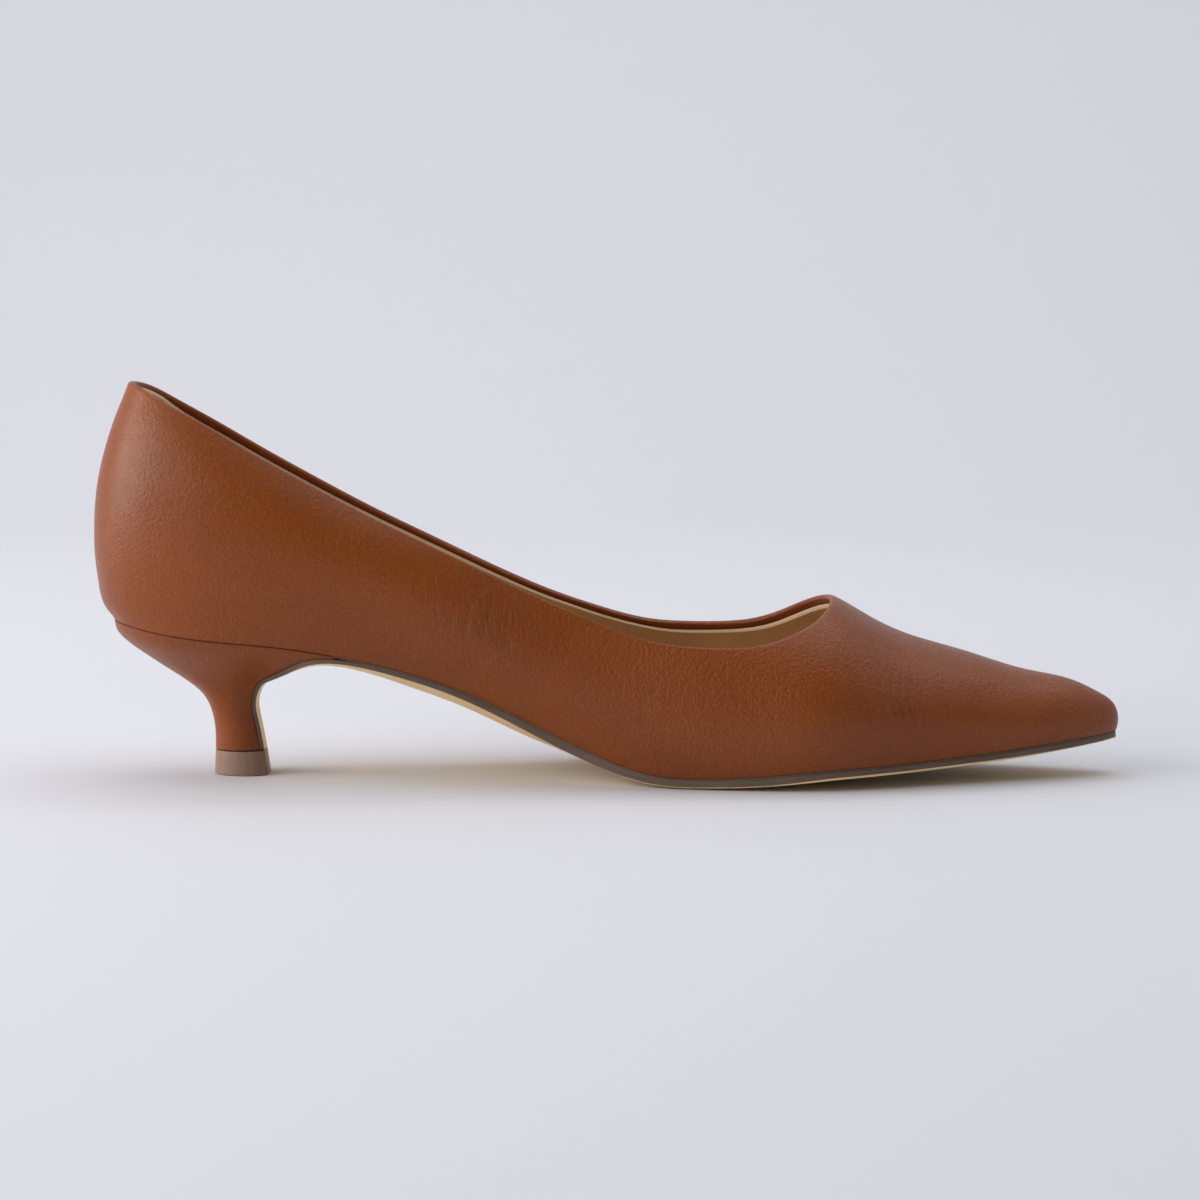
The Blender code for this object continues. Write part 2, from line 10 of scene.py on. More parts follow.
import bmesh
import bpy
import numpy as np
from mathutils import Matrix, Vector


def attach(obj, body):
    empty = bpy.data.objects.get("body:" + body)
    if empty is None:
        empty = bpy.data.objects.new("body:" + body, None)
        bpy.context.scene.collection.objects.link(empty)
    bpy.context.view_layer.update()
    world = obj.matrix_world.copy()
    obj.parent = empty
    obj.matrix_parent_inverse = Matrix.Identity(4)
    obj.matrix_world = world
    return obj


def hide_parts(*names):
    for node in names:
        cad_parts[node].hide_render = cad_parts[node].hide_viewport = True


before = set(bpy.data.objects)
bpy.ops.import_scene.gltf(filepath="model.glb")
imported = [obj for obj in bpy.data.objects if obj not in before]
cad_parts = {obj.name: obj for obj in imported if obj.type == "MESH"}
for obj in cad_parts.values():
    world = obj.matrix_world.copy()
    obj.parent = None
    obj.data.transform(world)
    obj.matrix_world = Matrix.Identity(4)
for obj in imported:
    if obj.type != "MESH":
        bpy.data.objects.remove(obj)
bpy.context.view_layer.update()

# The last, with the leather on it
SHOE_LENGTH = 0.2641
BALL_WIDTH = 0.078
SEAT_WIDTH = 0.058
SEAT_HEIGHT = 0.0396
COLLAR_HEIGHT = 0.062
INSTEP_HEIGHT = 0.0413
TOE_DEPTH = 0.014
TOE_SPRING = 0.0087
SEAT_TUCK = 0.0051
COLLAR_LEAN = 0.0094
HEEL_SETBACK = 0.0375
INNER_LIFT = 0.002
WAIST_TILT = 0.0028

# Leather, lining, sock, sole, and the seam beads: painted shade round the heel, edge paint along the sole
FOLD_THICKNESS = 0.0018
TURNED_EDGE = 0.0005
LINING_INSET = 0.0019
LINING_THICKNESS = 0.0009
LINING_BEVEL = 0.0008
LINING_FOOT = 0.0009
LINING_TOP_STEP = 0.0001
INSOLE_INSET = 0.0024
INSOLE_THICKNESS = 0.0026
SOCK_CUP = 0.0008
SOCK_CUP_WIDTH = 0.01
SOCK_CLEARANCE = 0.0002
BALL_SOLE_THICKNESS = 0.0027
SOLE_EDGE = 0.0023
FLAP_THICKNESS = 0.001
WAIST_CROWN = 0.0034
SOLE_INSET = 0.0003
SOLE_ROUNDING = 0.0004
SOLE_TOP_BEVEL = 0.00012
SOLE_LEAST_WIDTH = 0.0002
SOLE_FULL_WIDTH = 0.0008
GAP = 0.0003
BREAST_GAP = 0.00005
BEAD_RADIUS = 0.00017
SEAM_INSET = 0.00022
# Where the seam beads turn from painted shade round the heel to edge paint along the sole
SHADE_TO_PAINT_START_X = 0.024
SHADE_TO_PAINT_END_X = 0.028

# The heel and its tip
STEM_BACK = 0.007
STEM_FRONT = 0.0029
STEM_WIDTH = 0.013
BREAST_REACH = 0.0215
LIFT_HEIGHT = 0.0063
LIFT_FLARE = 0.0003
LIFT_FRONT_FLARE = 0.0009
LIFT_ROUNDING = 0.0003
HEEL_ROUNDING = 0.00015
STEM_ROUND = 0.6
FRONT_NARROWING = 0.3
WEDGE_EDGE = 0.0002
HEEL_PATH_SHARE = 0.6
SEAT_WRINKLE_DROP = 0.004
SEAT_WRINKLE_FADE = 0.012
SEAT_WRINKLE_STRENGTH = 0.5

# How finely the pieces are woven
UPPER_COLUMNS = 320
UPPER_ROWS = 130
UPPER_OUTER_ROWS = 102
UPPER_INNER_ROWS = 12
LINING_ROWS = 60
LINING_BACK_ROWS = 8
LINING_BEVEL_ROWS = 5
SOCK_SECTIONS = 150
SOCK_POINTS = 24
HEEL_COLUMNS = 76
HEEL_ROWS = 110
SOLE_SECTIONS = 430
SOLE_UNDER_POINTS = 25
TIP_COLUMNS = 40
TIP_ROWS = 12
SEAM_STEPS = 300
EDGE_STEPS = 5

BACK_X = -HEEL_SETBACK
TIP_X = BACK_X + SHOE_LENGTH
SIDES = ("in", "out")
SIGN = {"in": -1, "out": 1}
OUTLINE_STEPS = 400

# Colours of the dyed leather, and of its pores and light flecks
LEATHER_LIGHT = (0.27, 0.062, 0.0065, 1)
LEATHER_DARK = (0.22, 0.049, 0.005, 1)
LEATHER_PORE = (0.1496, 0.0333, 0.0034, 1)
LEATHER_FLECK = (0.3645, 0.0837, 0.0088, 1)

# The studio: its paper, its dark card, and the camera with its angle in degrees and its lens in mm
SWEEP_START = 0.8
SWEEP_RADIUS = 1.1
FLOOR_CLEARANCE = 0.00002
FLOOR_FRONT_Y = -2.5
FLOOR_TOP = 3.0
FLOOR_SPAN = (-3.0, 3.0)
CARD_Y = -1.6
CARD_SPAN = (-1.1, 2.6)
CARD_HEIGHTS = (0.12, 2.2)
LAMP_TARGET = (0.09, 0.0, 0.04)
CAMERA_TARGET = (0.0925, 0.04496)
CAMERA_DISTANCE = 0.9
CAMERA_ANGLE = 5.6
CAMERA_LENS = 104.65


def table(columns, *rows):
    """A table of sections. The name of a column gives its values, from the first row to the last."""
    return {name: np.array([row[place] for row in rows]) for place, name in enumerate(columns.split())}


# Plan outline at the widest line, from the back of the heel to the tip of the toe: shares of the
# seat width on both sides, and of the ball width on the outer and the inner side.
PLAN = table(
    "station  seat  ball_out  ball_in",
    (0.00, 0.000, 0.000, 0.000),
    (0.03, 0.317, 0.000, 0.000),
    (0.08, 0.441, 0.000, 0.000),
    (0.15, 0.500, 0.000, 0.000),
    (0.25, 0.500, 0.005, 0.003),
    (0.35, 0.400, 0.087, 0.070),
    (0.45, 0.250, 0.235, 0.190),
    (0.55, 0.100, 0.420, 0.357),
    (0.62, 0.020, 0.497, 0.449),
    (0.70, 0.000, 0.470, 0.476),
    (0.78, 0.000, 0.370, 0.392),
    (0.86, 0.000, 0.266, 0.289),
    (0.93, 0.000, 0.178, 0.193),
    (0.98, 0.000, 0.092, 0.100),
    (1.00, 0.000, 0.000, 0.000),
)

# Sections across the last: height of the widest line over the feather edge, rise from there to the
# ridge, and drop on each side to where the section would close, all as shares of the local height.
SECTIONS = table(
    "share  belly  rise  drop_out  drop_in",
    (0.000, 0.395, 0.968, 0.800, 0.800),
    (0.100, 0.392, 0.760, 0.795, 0.790),
    (0.150, 0.389, 0.630, 0.790, 0.780),
    (0.250, 0.391, 0.480, 0.720, 0.680),
    (0.350, 0.389, 0.640, 0.700, 0.574),
    (0.450, 0.363, 0.930, 0.642, 0.534),
    (0.550, 0.330, 1.048, 0.710, 0.649),
    (0.650, 0.298, 0.870, 0.811, 0.736),
    (0.720, 0.270, 0.714, 0.704, 0.704),
    (0.760, 0.270, 0.611, 0.690, 0.690),
    (0.800, 0.282, 0.608, 0.680, 0.680),
    (0.880, 0.370, 0.812, 0.900, 0.900),
    (0.940, 0.340, 0.770, 0.829, 0.829),
    (0.980, 0.245, 0.490, 0.520, 0.520),
    (0.995, 0.205, 0.300, 0.300, 0.300),
    (1.000, 0.190, 0.000, 0.000, 0.000),
)
COLLAR_FADE = (0.10, 0.50)
TOE_FADE = (0.70, 0.95)

# Feather edge, where upper and sole meet: shares of the seat's height over the ball, of the toe
# spring, and of the tilt that lowers the outer side of the waist.
FEATHER = table(
    "share  arch  spring  tilt",
    (0.00, 1.038, 0.00, 0.00),
    (0.03, 1.010, 0.00, 0.00),
    (0.06, 0.974, 0.00, 0.00),
    (0.09, 0.944, 0.00, 0.00),
    (0.13, 0.917, 0.00, 0.00),
    (0.18, 0.888, 0.00, 0.00),
    (0.23, 0.834, 0.00, 0.00),
    (0.27, 0.772, 0.00, 0.02),
    (0.32, 0.676, 0.00, 0.60),
    (0.38, 0.507, 0.00, 1.00),
    (0.44, 0.296, 0.00, 0.98),
    (0.49, 0.134, 0.00, 0.70),
    (0.54, 0.020, 0.00, 0.25),
    (0.58, 0.000, 0.01, 0.03),
    (0.62, 0.000, 0.06, 0.00),
    (0.66, 0.000, 0.16, 0.00),
    (0.70, 0.000, 0.29, 0.00),
    (0.75, 0.000, 0.37, 0.00),
    (0.80, 0.000, 0.44, 0.00),
    (0.86, 0.000, 0.58, 0.00),
    (0.90, 0.000, 0.69, 0.00),
    (0.94, 0.000, 0.82, 0.00),
    (1.00, 0.000, 1.00, 0.00),
)

# Top edge of the upper over the feather edge: shares of the collar height, of the instep height and
# of what the inner side rises over the outer one.
TOP_EDGE = table(
    "share  collar  instep  inner",
    (0.03, 1.000, 0.000, 0.00),
    (0.045, 0.992, 0.000, 0.05),
    (0.07, 0.951, 0.000, 0.27),
    (0.11, 0.833, 0.055, 0.76),
    (0.16, 0.664, 0.142, 0.90),
    (0.22, 0.484, 0.245, 0.93),
    (0.30, 0.266, 0.422, 1.00),
    (0.38, 0.117, 0.586, 0.96),
    (0.45, 0.040, 0.722, 0.72),
    (0.52, 0.000, 0.815, 0.20),
    (0.58, 0.000, 0.810, -0.12),
    (0.62, 0.000, 0.802, -0.27),
    (0.65, 0.000, 0.816, -0.38),
    (0.68, 0.000, 0.876, -0.66),
    (0.70, 0.000, 0.938, -0.90),
    (0.71, 0.000, 0.967, -0.62),
    (0.72, 0.000, 0.992, 0.00),
)

# Back of the upper, by share of the collar height over the seat
BACK = table(
    "height  tuck  lean",
    (0.000, 1.00, 0.00),
    (0.024, 0.89, 0.00),
    (0.045, 0.68, 0.00),
    (0.085, 0.39, 0.00),
    (0.170, 0.17, 0.00),
    (0.250, 0.05, 0.00),
    (0.395, 0.00, 0.00),
    (0.600, 0.00, 0.13),
    (0.740, 0.00, 0.36),
    (0.840, 0.00, 0.58),
    (0.930, 0.00, 0.82),
    (1.000, 0.00, 1.00),
)

# Heel, by share of its height: overhang behind the stem and widening to the seat
HEEL_FLARE = table(
    "height  back  side",
    (0.00, 0.000, 0.000),
    (0.12, 0.000, 0.000),
    (0.26, 0.024, 0.005),
    (0.36, 0.070, 0.030),
    (0.45, 0.153, 0.075),
    (0.55, 0.322, 0.170),
    (0.65, 0.522, 0.320),
    (0.74, 0.697, 0.500),
    (0.84, 0.876, 0.720),
    (0.93, 0.980, 0.900),
    (1.00, 1.000, 1.000),
)

# Breast of the heel: shares of its reach in front of the stem and of its height
BREAST = table(
    "reach  height",
    (0.698, 0.940),
    (0.460, 0.850),
    (0.274, 0.768),
    (0.112, 0.690),
    (0.043, 0.600),
    (0.000, 0.457),
    (0.033, 0.260),
    (0.093, 0.000),
)

# The sole by share of its way from the toe along the arch and down to the heel tip: edge thickness
# over the flap's, and crown of its underside.
SOLE = table(
    "way  edge  crown",
    (0.00, 0.38, 0.10),
    (0.10, 0.75, 0.18),
    (0.25, 0.85, 0.26),
    (0.36, 1.00, 0.36),
    (0.44, 0.82, 0.42),
    (0.52, 0.84, 0.36),
    (0.56, 0.84, 0.36),
    (0.60, 0.84, 0.60),
    (0.64, 0.72, 0.78),
    (0.70, 0.50, 0.90),
    (0.76, 0.38, 1.00),
    (0.82, 0.28, 0.80),
    (0.87, 0.34, 0.38),
    (0.92, 0.08, 0.14),
    (1.00, 0.00, 0.06),
)

# Soft creases of the leather: middle of each in the side view, half length, slant from upright in
# degrees, half width, depth, and the side it lies on (-1 inner, 1 outer)
CREASES = table(
    "x  z  length  slant  width  depth  side",
    (0.0555, 0.0430, 0.0060, 14, 0.0008, 0.00011, -1),
    (0.0595, 0.0440, 0.0080, 17, 0.0008, 0.00015, -1),
    (0.0640, 0.0415, 0.0070, 21, 0.0009, 0.00013, -1),
    (0.0700, 0.0380, 0.0055, 25, 0.0009, 0.00007, -1),
    (0.1625, 0.0215, 0.0055, -14, 0.0006, 0.00018, -1),
    (0.1655, 0.0210, 0.0078, -11, 0.0006, 0.00026, -1),
    (0.1678, 0.0205, 0.0090, -8, 0.0006, 0.00032, -1),
    (0.1702, 0.0208, 0.0084, -5, 0.0006, 0.00028, -1),
    (0.1730, 0.0195, 0.0062, -3, 0.0007, 0.00018, -1),
    (0.0590, 0.0400, 0.0080, 15, 0.0009, 0.00010, 1),
    (0.0660, 0.0380, 0.0070, 20, 0.0009, 0.00009, 1),
    (0.1620, 0.0190, 0.0055, -12, 0.0007, 0.00010, 1),
    (0.1670, 0.0180, 0.0060, -8, 0.0007, 0.00010, 1),
)
CREASE_BOW = 0.25
CREASE_FADE = 1.6
RIDGE_SHARE = 0.45
RIDGE_PLACE = 1.7
CREASE_WAYS = (0.43, 0.86)
CREASE_SPAN = 0.05
CREASE_CROWDING = 4.0

# How far the cut edge of the lining lies under the top edge, by share of the shoe's length
LINING_LINE = table(
    "share  drop",
    (0.00, 0.0009),
    (0.06, 0.0012),
    (0.07, 0.0017),
    (0.08, 0.0021),
    (0.10, 0.0023),
    (0.15, 0.0022),
    (0.30, 0.0021),
    (0.34, 0.0023),
    (0.39, 0.0028),
    (0.44, 0.0036),
    (0.50, 0.0045),
    (0.55, 0.0042),
    (0.60, 0.0033),
    (0.64, 0.0027),
    (0.68, 0.0022),
    (0.72, 0.0022),
)

# How far the paint of the sole's edge reaches down, as a share of the edge's greatest thickness, by
# share of the way along the sole
PAINT_LINE = table(
    "way  depth",
    (0.00, 0.56),
    (0.05, 0.70),
    (0.12, 0.69),
    (0.18, 0.65),
    (0.25, 0.65),
    (0.31, 0.75),
    (0.37, 0.87),
    (0.43, 0.78),
    (0.49, 0.80),
    (0.53, 0.88),
    (0.59, 0.94),
    (0.65, 0.80),
    (0.72, 0.67),
    (0.78, 0.60),
    (0.82, 0.48),
    (0.88, 0.56),
    (0.94, 0.60),
    (1.00, 0.60),
)

# Places where the leather is finely wrinkled: middle in the side view, radius and strength
WRINKLED = table(
    "x  z  radius  strength",
    (0.0300, 0.0640, 0.0130, 0.55),
    (0.0620, 0.0420, 0.0180, 1.00),
    (0.1060, 0.0210, 0.0120, 0.60),
    (0.1690, 0.0180, 0.0140, 1.00),
    (0.1380, 0.0240, 0.0120, 0.45),
    (-0.0050, 0.0420, 0.0100, 0.45),
)


def spline(places, values):
    """A smooth curve through the rows of a table, as a function."""
    count = len(places)
    span = np.diff(places)
    slope = np.diff(values) / span
    matrix = np.eye(count)
    change = np.zeros(count)
    for row in range(1, count - 1):
        matrix[row, row - 1:row + 2] = span[row - 1], 2 * (span[row - 1] + span[row]), span[row]
        change[row] = 6 * (slope[row] - slope[row - 1])
    bend = np.linalg.solve(matrix, change)

    def value(place):
        place = np.clip(place, places[0], places[-1])
        left = np.clip(np.searchsorted(places, place) - 1, 0, count - 2)
        after = (place - places[left]) / span[left]
        before = 1 - after
        curved = (before**3 - before) * bend[left] + (after**3 - after) * bend[left + 1]
        return before * values[left] + after * values[left + 1] + curved * span[left]**2 / 6

    return value


def turned(share):
    """The angle of a share of the length. A curve that runs to nothing over it has round ends."""
    return np.arccos(1 - 2 * np.clip(share, 0, 1))


def eased(share, span):
    """Runs smoothly from 0 to 1 across a span of shares."""
    way = np.clip((share - span[0]) / (span[1] - span[0]), 0, 1)
    return way**3 * (10 - 15 * way + 6 * way**2)


def curves(rows, key, places=None):
    """The splines of every column of a table over its first one."""
    places = rows[key] if places is None else places
    return {name: spline(places, values) for name, values in rows.items() if name != key}


PLAN_CURVES = curves(PLAN, "station", turned(PLAN["station"]))
SECTION_CURVES = curves(SECTIONS, "share", turned(SECTIONS["share"]))
FEATHER_CURVES = curves(FEATHER, "share")
TOP_EDGE_CURVES = curves(TOP_EDGE, "share")
BACK_CURVES = curves(BACK, "height")
FLARE_CURVES = curves(HEEL_FLARE, "height")
SOLE_CURVES = curves(SOLE, "way")


def share_of(x):
    """The share of the shoe's length at a place."""
    return np.clip((x - BACK_X) / SHOE_LENGTH, 0, 1)


def feather_height(x, side="in"):
    """Height of the edge where the upper meets the sole. Only at the waist do the sides differ."""
    share = share_of(x)
    arch = (SEAT_HEIGHT - BALL_SOLE_THICKNESS) * FEATHER_CURVES["arch"](share)
    drop = WAIST_TILT * FEATHER_CURVES["tilt"](share) if side == "out" else 0
    return BALL_SOLE_THICKNESS + arch + TOE_SPRING * FEATHER_CURVES["spring"](share) - drop


def top_edge_height(x, side="out"):
    """Height of the upper's top edge, from the back of the collar to the throat."""
    share = share_of(x)
    collar = COLLAR_HEIGHT * TOP_EDGE_CURVES["collar"](share)
    lift = INNER_LIFT * TOP_EDGE_CURVES["inner"](share) if side == "in" else 0
    return feather_height(x) + collar + INSTEP_HEIGHT * TOP_EDGE_CURVES["instep"](share) + lift


def section_size(x, column):
    """One measure of the section at x, in metres."""
    share = share_of(x)
    front = eased(share, COLLAR_FADE)
    toe = eased(share, TOE_FADE)
    local = COLLAR_HEIGHT * (1 - front) + INSTEP_HEIGHT * (front - toe) + TOE_DEPTH * toe
    return local * SECTION_CURVES[column](turned(share))


def belly_height(x, side="in"):
    """Height of the last's widest line."""
    return feather_height(x, side) + section_size(x, "belly")


def ridge_height(x):
    """Height of the last's top line."""
    return belly_height(x) + section_size(x, "rise")


def back_line(z):
    """The back of the upper at a height."""
    height = (z - SEAT_HEIGHT) / COLLAR_HEIGHT
    return BACK_X + SEAT_TUCK * BACK_CURVES["tuck"](height) + COLLAR_LEAN * BACK_CURVES["lean"](height)


def last_half_width(x, z, side):
    """How far the last reaches to one side of the middle at a place of the side view."""
    back = back_line(z)
    station = turned((x - back) / (TIP_X - back))
    reach = SEAT_WIDTH * PLAN_CURVES["seat"](station) + BALL_WIDTH * PLAN_CURVES["ball_" + side](station)
    over = z - belly_height(x, side)
    room = np.where(over > 0, section_size(x, "rise"), section_size(x, "drop_" + side))
    part = over / np.maximum(room, GAP)
    return reach * np.sqrt(np.clip(1 - part**2, 0, 1))


def crossing(difference, low, high):
    """Where a difference changes sign between two places."""
    for _ in range(50):
        middle = (low + high) / 2
        if (difference(low) > 0) == (difference(middle) > 0):
            low = middle
        else:
            high = middle
    return (low + high) / 2


def along(points):
    """A line of points as a function of the share of its length."""
    points = np.asarray(points)
    steps = np.linalg.norm(np.diff(points, axis=0), axis=1)
    lengths = np.append(0, np.cumsum(steps)) / steps.sum()
    return lambda share: np.stack([np.interp(share, lengths, points[:, axis]) for axis in (0, 1)], -1)


def line_over(height, start, end):
    """A line of the side view from one x to another, as a function of the share of the way."""
    def point(share):
        x = start + (end - start) * share
        return np.stack([x, height(x)], -1)

    return point


def filled(low, high, back, front, ways, ups):
    """Fills the outline between four lines of the side view with rows of places."""
    across = ways[None, :, None]
    up = ups[:, None, None]
    sides = (1 - up) * low(ways)[None] + up * high(ways)[None]
    ends = (1 - across) * back(ups)[:, None] + across * front(ups)[:, None]
    lower = (1 - across) * low(np.array([0.0]))[None] + across * low(np.array([1.0]))[None]
    upper = (1 - across) * high(np.array([0.0]))[None] + across * high(np.array([1.0]))[None]
    return sides + ends - (1 - up) * lower - up * upper


FEATHER_BACK_X = crossing(lambda x: x - back_line(feather_height(x)), BACK_X, BACK_X + 2 * SEAT_TUCK)
COLLAR_BACK_X = crossing(lambda x: x - back_line(top_edge_height(x)), BACK_X, BACK_X + 2 * COLLAR_LEAN)
FEATHER_TIP_X = crossing(
    lambda x: section_size(x, "drop_out") - section_size(x, "belly"), TIP_X - TOE_DEPTH, TIP_X
)
THROAT_X = crossing(
    lambda x: ridge_height(x) - top_edge_height(x),
    BACK_X + SHOE_LENGTH * TOP_EDGE["share"][-2],
    BACK_X + SHOE_LENGTH * TOP_EDGE["share"][-1],
)
STEM_FOOT = LIFT_HEIGHT + GAP
ARCH_START_X = STEM_FRONT + 1.35 * BREAST_REACH
NOSE_CROWDING = 1.6


def round_ended(count):
    """Shares of a way that crowd towards both ends."""
    return (1 - np.cos(np.linspace(0, math.pi, count + 1))) / 2


def round_started(count):
    """Shares of a way that crowd towards its start."""
    return 1 - np.cos(np.linspace(0, math.pi / 2, count + 1))


def two_sided(places, half_widths):
    """Turns rows of side view places into rings: out along the inner side, back along the outer."""
    inner, outer = [
        np.stack([places[side][..., 0], SIGN[side] * half_widths[side], places[side][..., 1]], -1)
        for side in SIDES
    ]
    first = -2 if np.allclose(half_widths["in"][:, -1], 0) else -1
    return np.concatenate([inner, outer[:, first:0:-1]], axis=1)


def upper_skin():
    """Rings of the upper's outer face, from the feather edge to the top edge."""
    heights = np.linspace(feather_height(FEATHER_BACK_X), top_edge_height(COLLAR_BACK_X), OUTLINE_STEPS)
    back = along(np.stack([back_line(heights), heights], -1))
    under = math.pi - float(turned(share_of(FEATHER_TIP_X)))
    over = math.pi - float(turned(share_of(THROAT_X)))
    angles = np.linspace(-under, over, OUTLINE_STEPS)
    x = BACK_X + SHOE_LENGTH * (1 + np.cos(angles)) / 2
    reach = np.where(angles > 0, section_size(x, "rise"), -section_size(x, "drop_out"))
    front = along(np.stack([x, belly_height(x) + reach], -1))
    places = {}
    half_widths = {}
    for side in SIDES:
        places[side] = filled(
            line_over(lambda x: feather_height(x, side), FEATHER_BACK_X, FEATHER_TIP_X),
            line_over(lambda x: top_edge_height(x, side), COLLAR_BACK_X, THROAT_X),
            back,
            lambda up: front(up**NOSE_CROWDING),
            crowded(UPPER_COLUMNS),
            np.linspace(0, 1, UPPER_ROWS + 1),
        )
        half_widths[side] = last_half_width(places[side][..., 0], places[side][..., 1], side)
        half_widths[side][:, [0, -1]] = 0
    return two_sided(places, half_widths)


def outward(rings):
    """Unit normals of closed rings, pointing away from the shoe."""
    around = np.roll(rings, -1, axis=1) - np.roll(rings, 1, axis=1)
    up = np.gradient(rings, axis=0)
    normals = np.cross(around, up)
    return normals / np.maximum(np.linalg.norm(normals, axis=2), 1e-12)[..., None]


class Skin:
    """Rings of a face that a layer can be measured off: down from its top edge, then inwards."""

    def __init__(self, rings):
        steps = np.linalg.norm(np.diff(rings, axis=0), axis=2)
        self.rings = rings
        self.normals = outward(rings)
        self.depths = np.concatenate([np.cumsum(steps[::-1], axis=0)[::-1], np.zeros((1, rings.shape[1]))])

    def height(self):
        """The whole way from top edge to bottom edge, for each column."""
        return self.depths[0]

    def layer(self, depths, insets):
        """Rings at depths under the top edge and insets from the face, given as blocks of rows."""
        depths, insets = np.concatenate(depths), np.concatenate(insets)
        rows, columns = len(depths), self.rings.shape[1]
        found = np.empty((rows, columns, 3))
        depths = np.broadcast_to(depths.reshape(rows, -1), (rows, columns))
        insets = np.broadcast_to(insets.reshape(rows, -1), (rows, columns))
        for column in range(columns):
            known = self.depths[::-1, column]
            for axis in range(3):
                place = np.interp(depths[:, column], known, self.rings[::-1, column, axis])
                normal = np.interp(depths[:, column], known, self.normals[::-1, column, axis])
                found[:, column, axis] = place - insets[:, column] * normal
        return found


def crowded(count):
    """Shares of the way along the upper that crowd towards both ends and where creases lie."""
    fine = round_ended(20 * count)
    crowd = np.ones(len(fine))
    for middle in CREASE_WAYS:
        crowd += CREASE_CROWDING * np.exp(-((fine - middle) / CREASE_SPAN)**2)
    steps = np.cumsum(crowd)
    return np.interp(np.linspace(steps[0], steps[-1], count + 1), steps, fine)


def half_turn(count, radius):
    """A rounded edge: how far each of its points lies from the edge, and inside the face."""
    angles = np.linspace(0, math.pi, count)
    return radius * (1 - np.sin(angles)), radius * (1 - np.cos(angles))


def creased(rings, normals):
    """Presses the soft creases into the leather: bowed troughs with a low ridge beside each."""
    sides = np.where(rings[..., 1] < 0, -1, 1)
    press = np.zeros(rings.shape[:2])
    for x, z, length, slant, width, depth, side in zip(*CREASES.values()):
        slant = math.radians(slant)
        dx = rings[..., 0] - x
        dz = rings[..., 2] - z
        run = (dx * math.sin(slant) + dz * math.cos(slant)) / length
        bow = CREASE_BOW * length * run**2 * side
        off = (dx * math.cos(slant) - dz * math.sin(slant) + bow) / width
        trough = np.exp(-off**2) - RIDGE_SHARE * np.exp(-((off - RIDGE_PLACE)**2))
        press += depth * trough * np.exp(-run**2 * CREASE_FADE) * (sides == side)
    return rings - press[..., None] * normals


def wrinkle_shares(points):
    """How finely wrinkled the leather is at each point."""
    shares = np.zeros(len(points))
    for x, z, radius, strength in zip(*WRINKLED.values()):
        away = ((points[:, 0] - x)**2 + (points[:, 2] - z)**2) / radius**2
        shares = np.maximum(shares, strength * np.exp(-away))
    return shares


def linked(name, data):
    """A new object of the scene."""
    added = bpy.data.objects.new(name, data)
    bpy.context.scene.collection.objects.link(added)
    return added


def woven(name, rings, material, closed_rows=False, caps=None):
    """A piece whose skin runs from ring to ring."""
    rows, columns = rings.shape[:2]
    index = np.arange(rows * columns).reshape(rows, columns)
    above = np.roll(index, -1, axis=0) if closed_rows else index[1:]
    below = index if closed_rows else index[:-1]
    after = np.roll(below, -1, axis=1)
    after_above = np.roll(above, -1, axis=1)
    faces = np.stack([below, after, after_above, above], -1).reshape(-1, 4).tolist()
    if caps == "ladder":
        faces += ladder([index[0][0], *index[0][:0:-1]]) + ladder(list(index[-1]))
    elif caps == "flat":
        faces += [index[0][::-1].tolist(), index[-1].tolist()]
    mesh = bpy.data.meshes.new(name)
    mesh.from_pydata(rings.reshape(-1, 3).tolist(), [], faces)
    mesh.materials.append(material)
    mesh.shade_smooth()
    if caps:
        sealed(mesh)
    return linked(name, mesh)


def sealed(mesh, open_ends=False):
    """Closes a mesh, at its open ends or where points lie on one another, and turns its faces out."""
    shape = bmesh.new()
    shape.from_mesh(mesh)
    if open_ends:
        bmesh.ops.holes_fill(shape, edges=[edge for edge in shape.edges if edge.is_boundary])
    else:
        bmesh.ops.remove_doubles(shape, verts=shape.verts, dist=1e-7)
    bmesh.ops.recalc_face_normals(shape, faces=shape.faces)
    shape.to_mesh(mesh)
    shape.free()


def ladder(ring):
    """Faces that close a ring whose first corner lies at its back, rung by rung."""
    ring = [int(place) for place in ring]
    faces = [(ring[0], ring[1], ring[-1])]
    near, far = 1, len(ring) - 1
    while near + 1 < far - 1:
        faces.append((ring[near], ring[near + 1], ring[far - 1], ring[far]))
        near += 1
        far -= 1
    if near + 1 == far - 1:
        faces.append((ring[near], ring[near + 1], ring[far]))
    return faces


def placed(piece, slot, *nodes):
    """Sets a finished piece on the part's one body, in place of the solids it stands for."""
    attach(piece, "root")
    if nodes:
        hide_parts(*nodes)


def share_layer(piece, name, values):
    """Stores a number for each point of a piece, for its material to read."""
    layer = piece.data.attributes.new(name, "FLOAT", "POINT")
    layer.data.foreach_set("value", np.asarray(values, dtype=np.float32))


def points_of(piece):
    """All points of a piece as rows of x, y and z."""
    found = np.empty(len(piece.data.vertices) * 3)
    piece.data.vertices.foreach_get("co", found)
    return found.reshape(-1, 3)


def feather_half_width(x, side):
    """Half width of what lies under the upper's edge: the sole, and the heel's seat."""
    x = np.clip(x, FEATHER_BACK_X, FEATHER_TIP_X)
    return np.maximum(last_half_width(x, feather_height(x, side), side) - SOLE_INSET, 0)


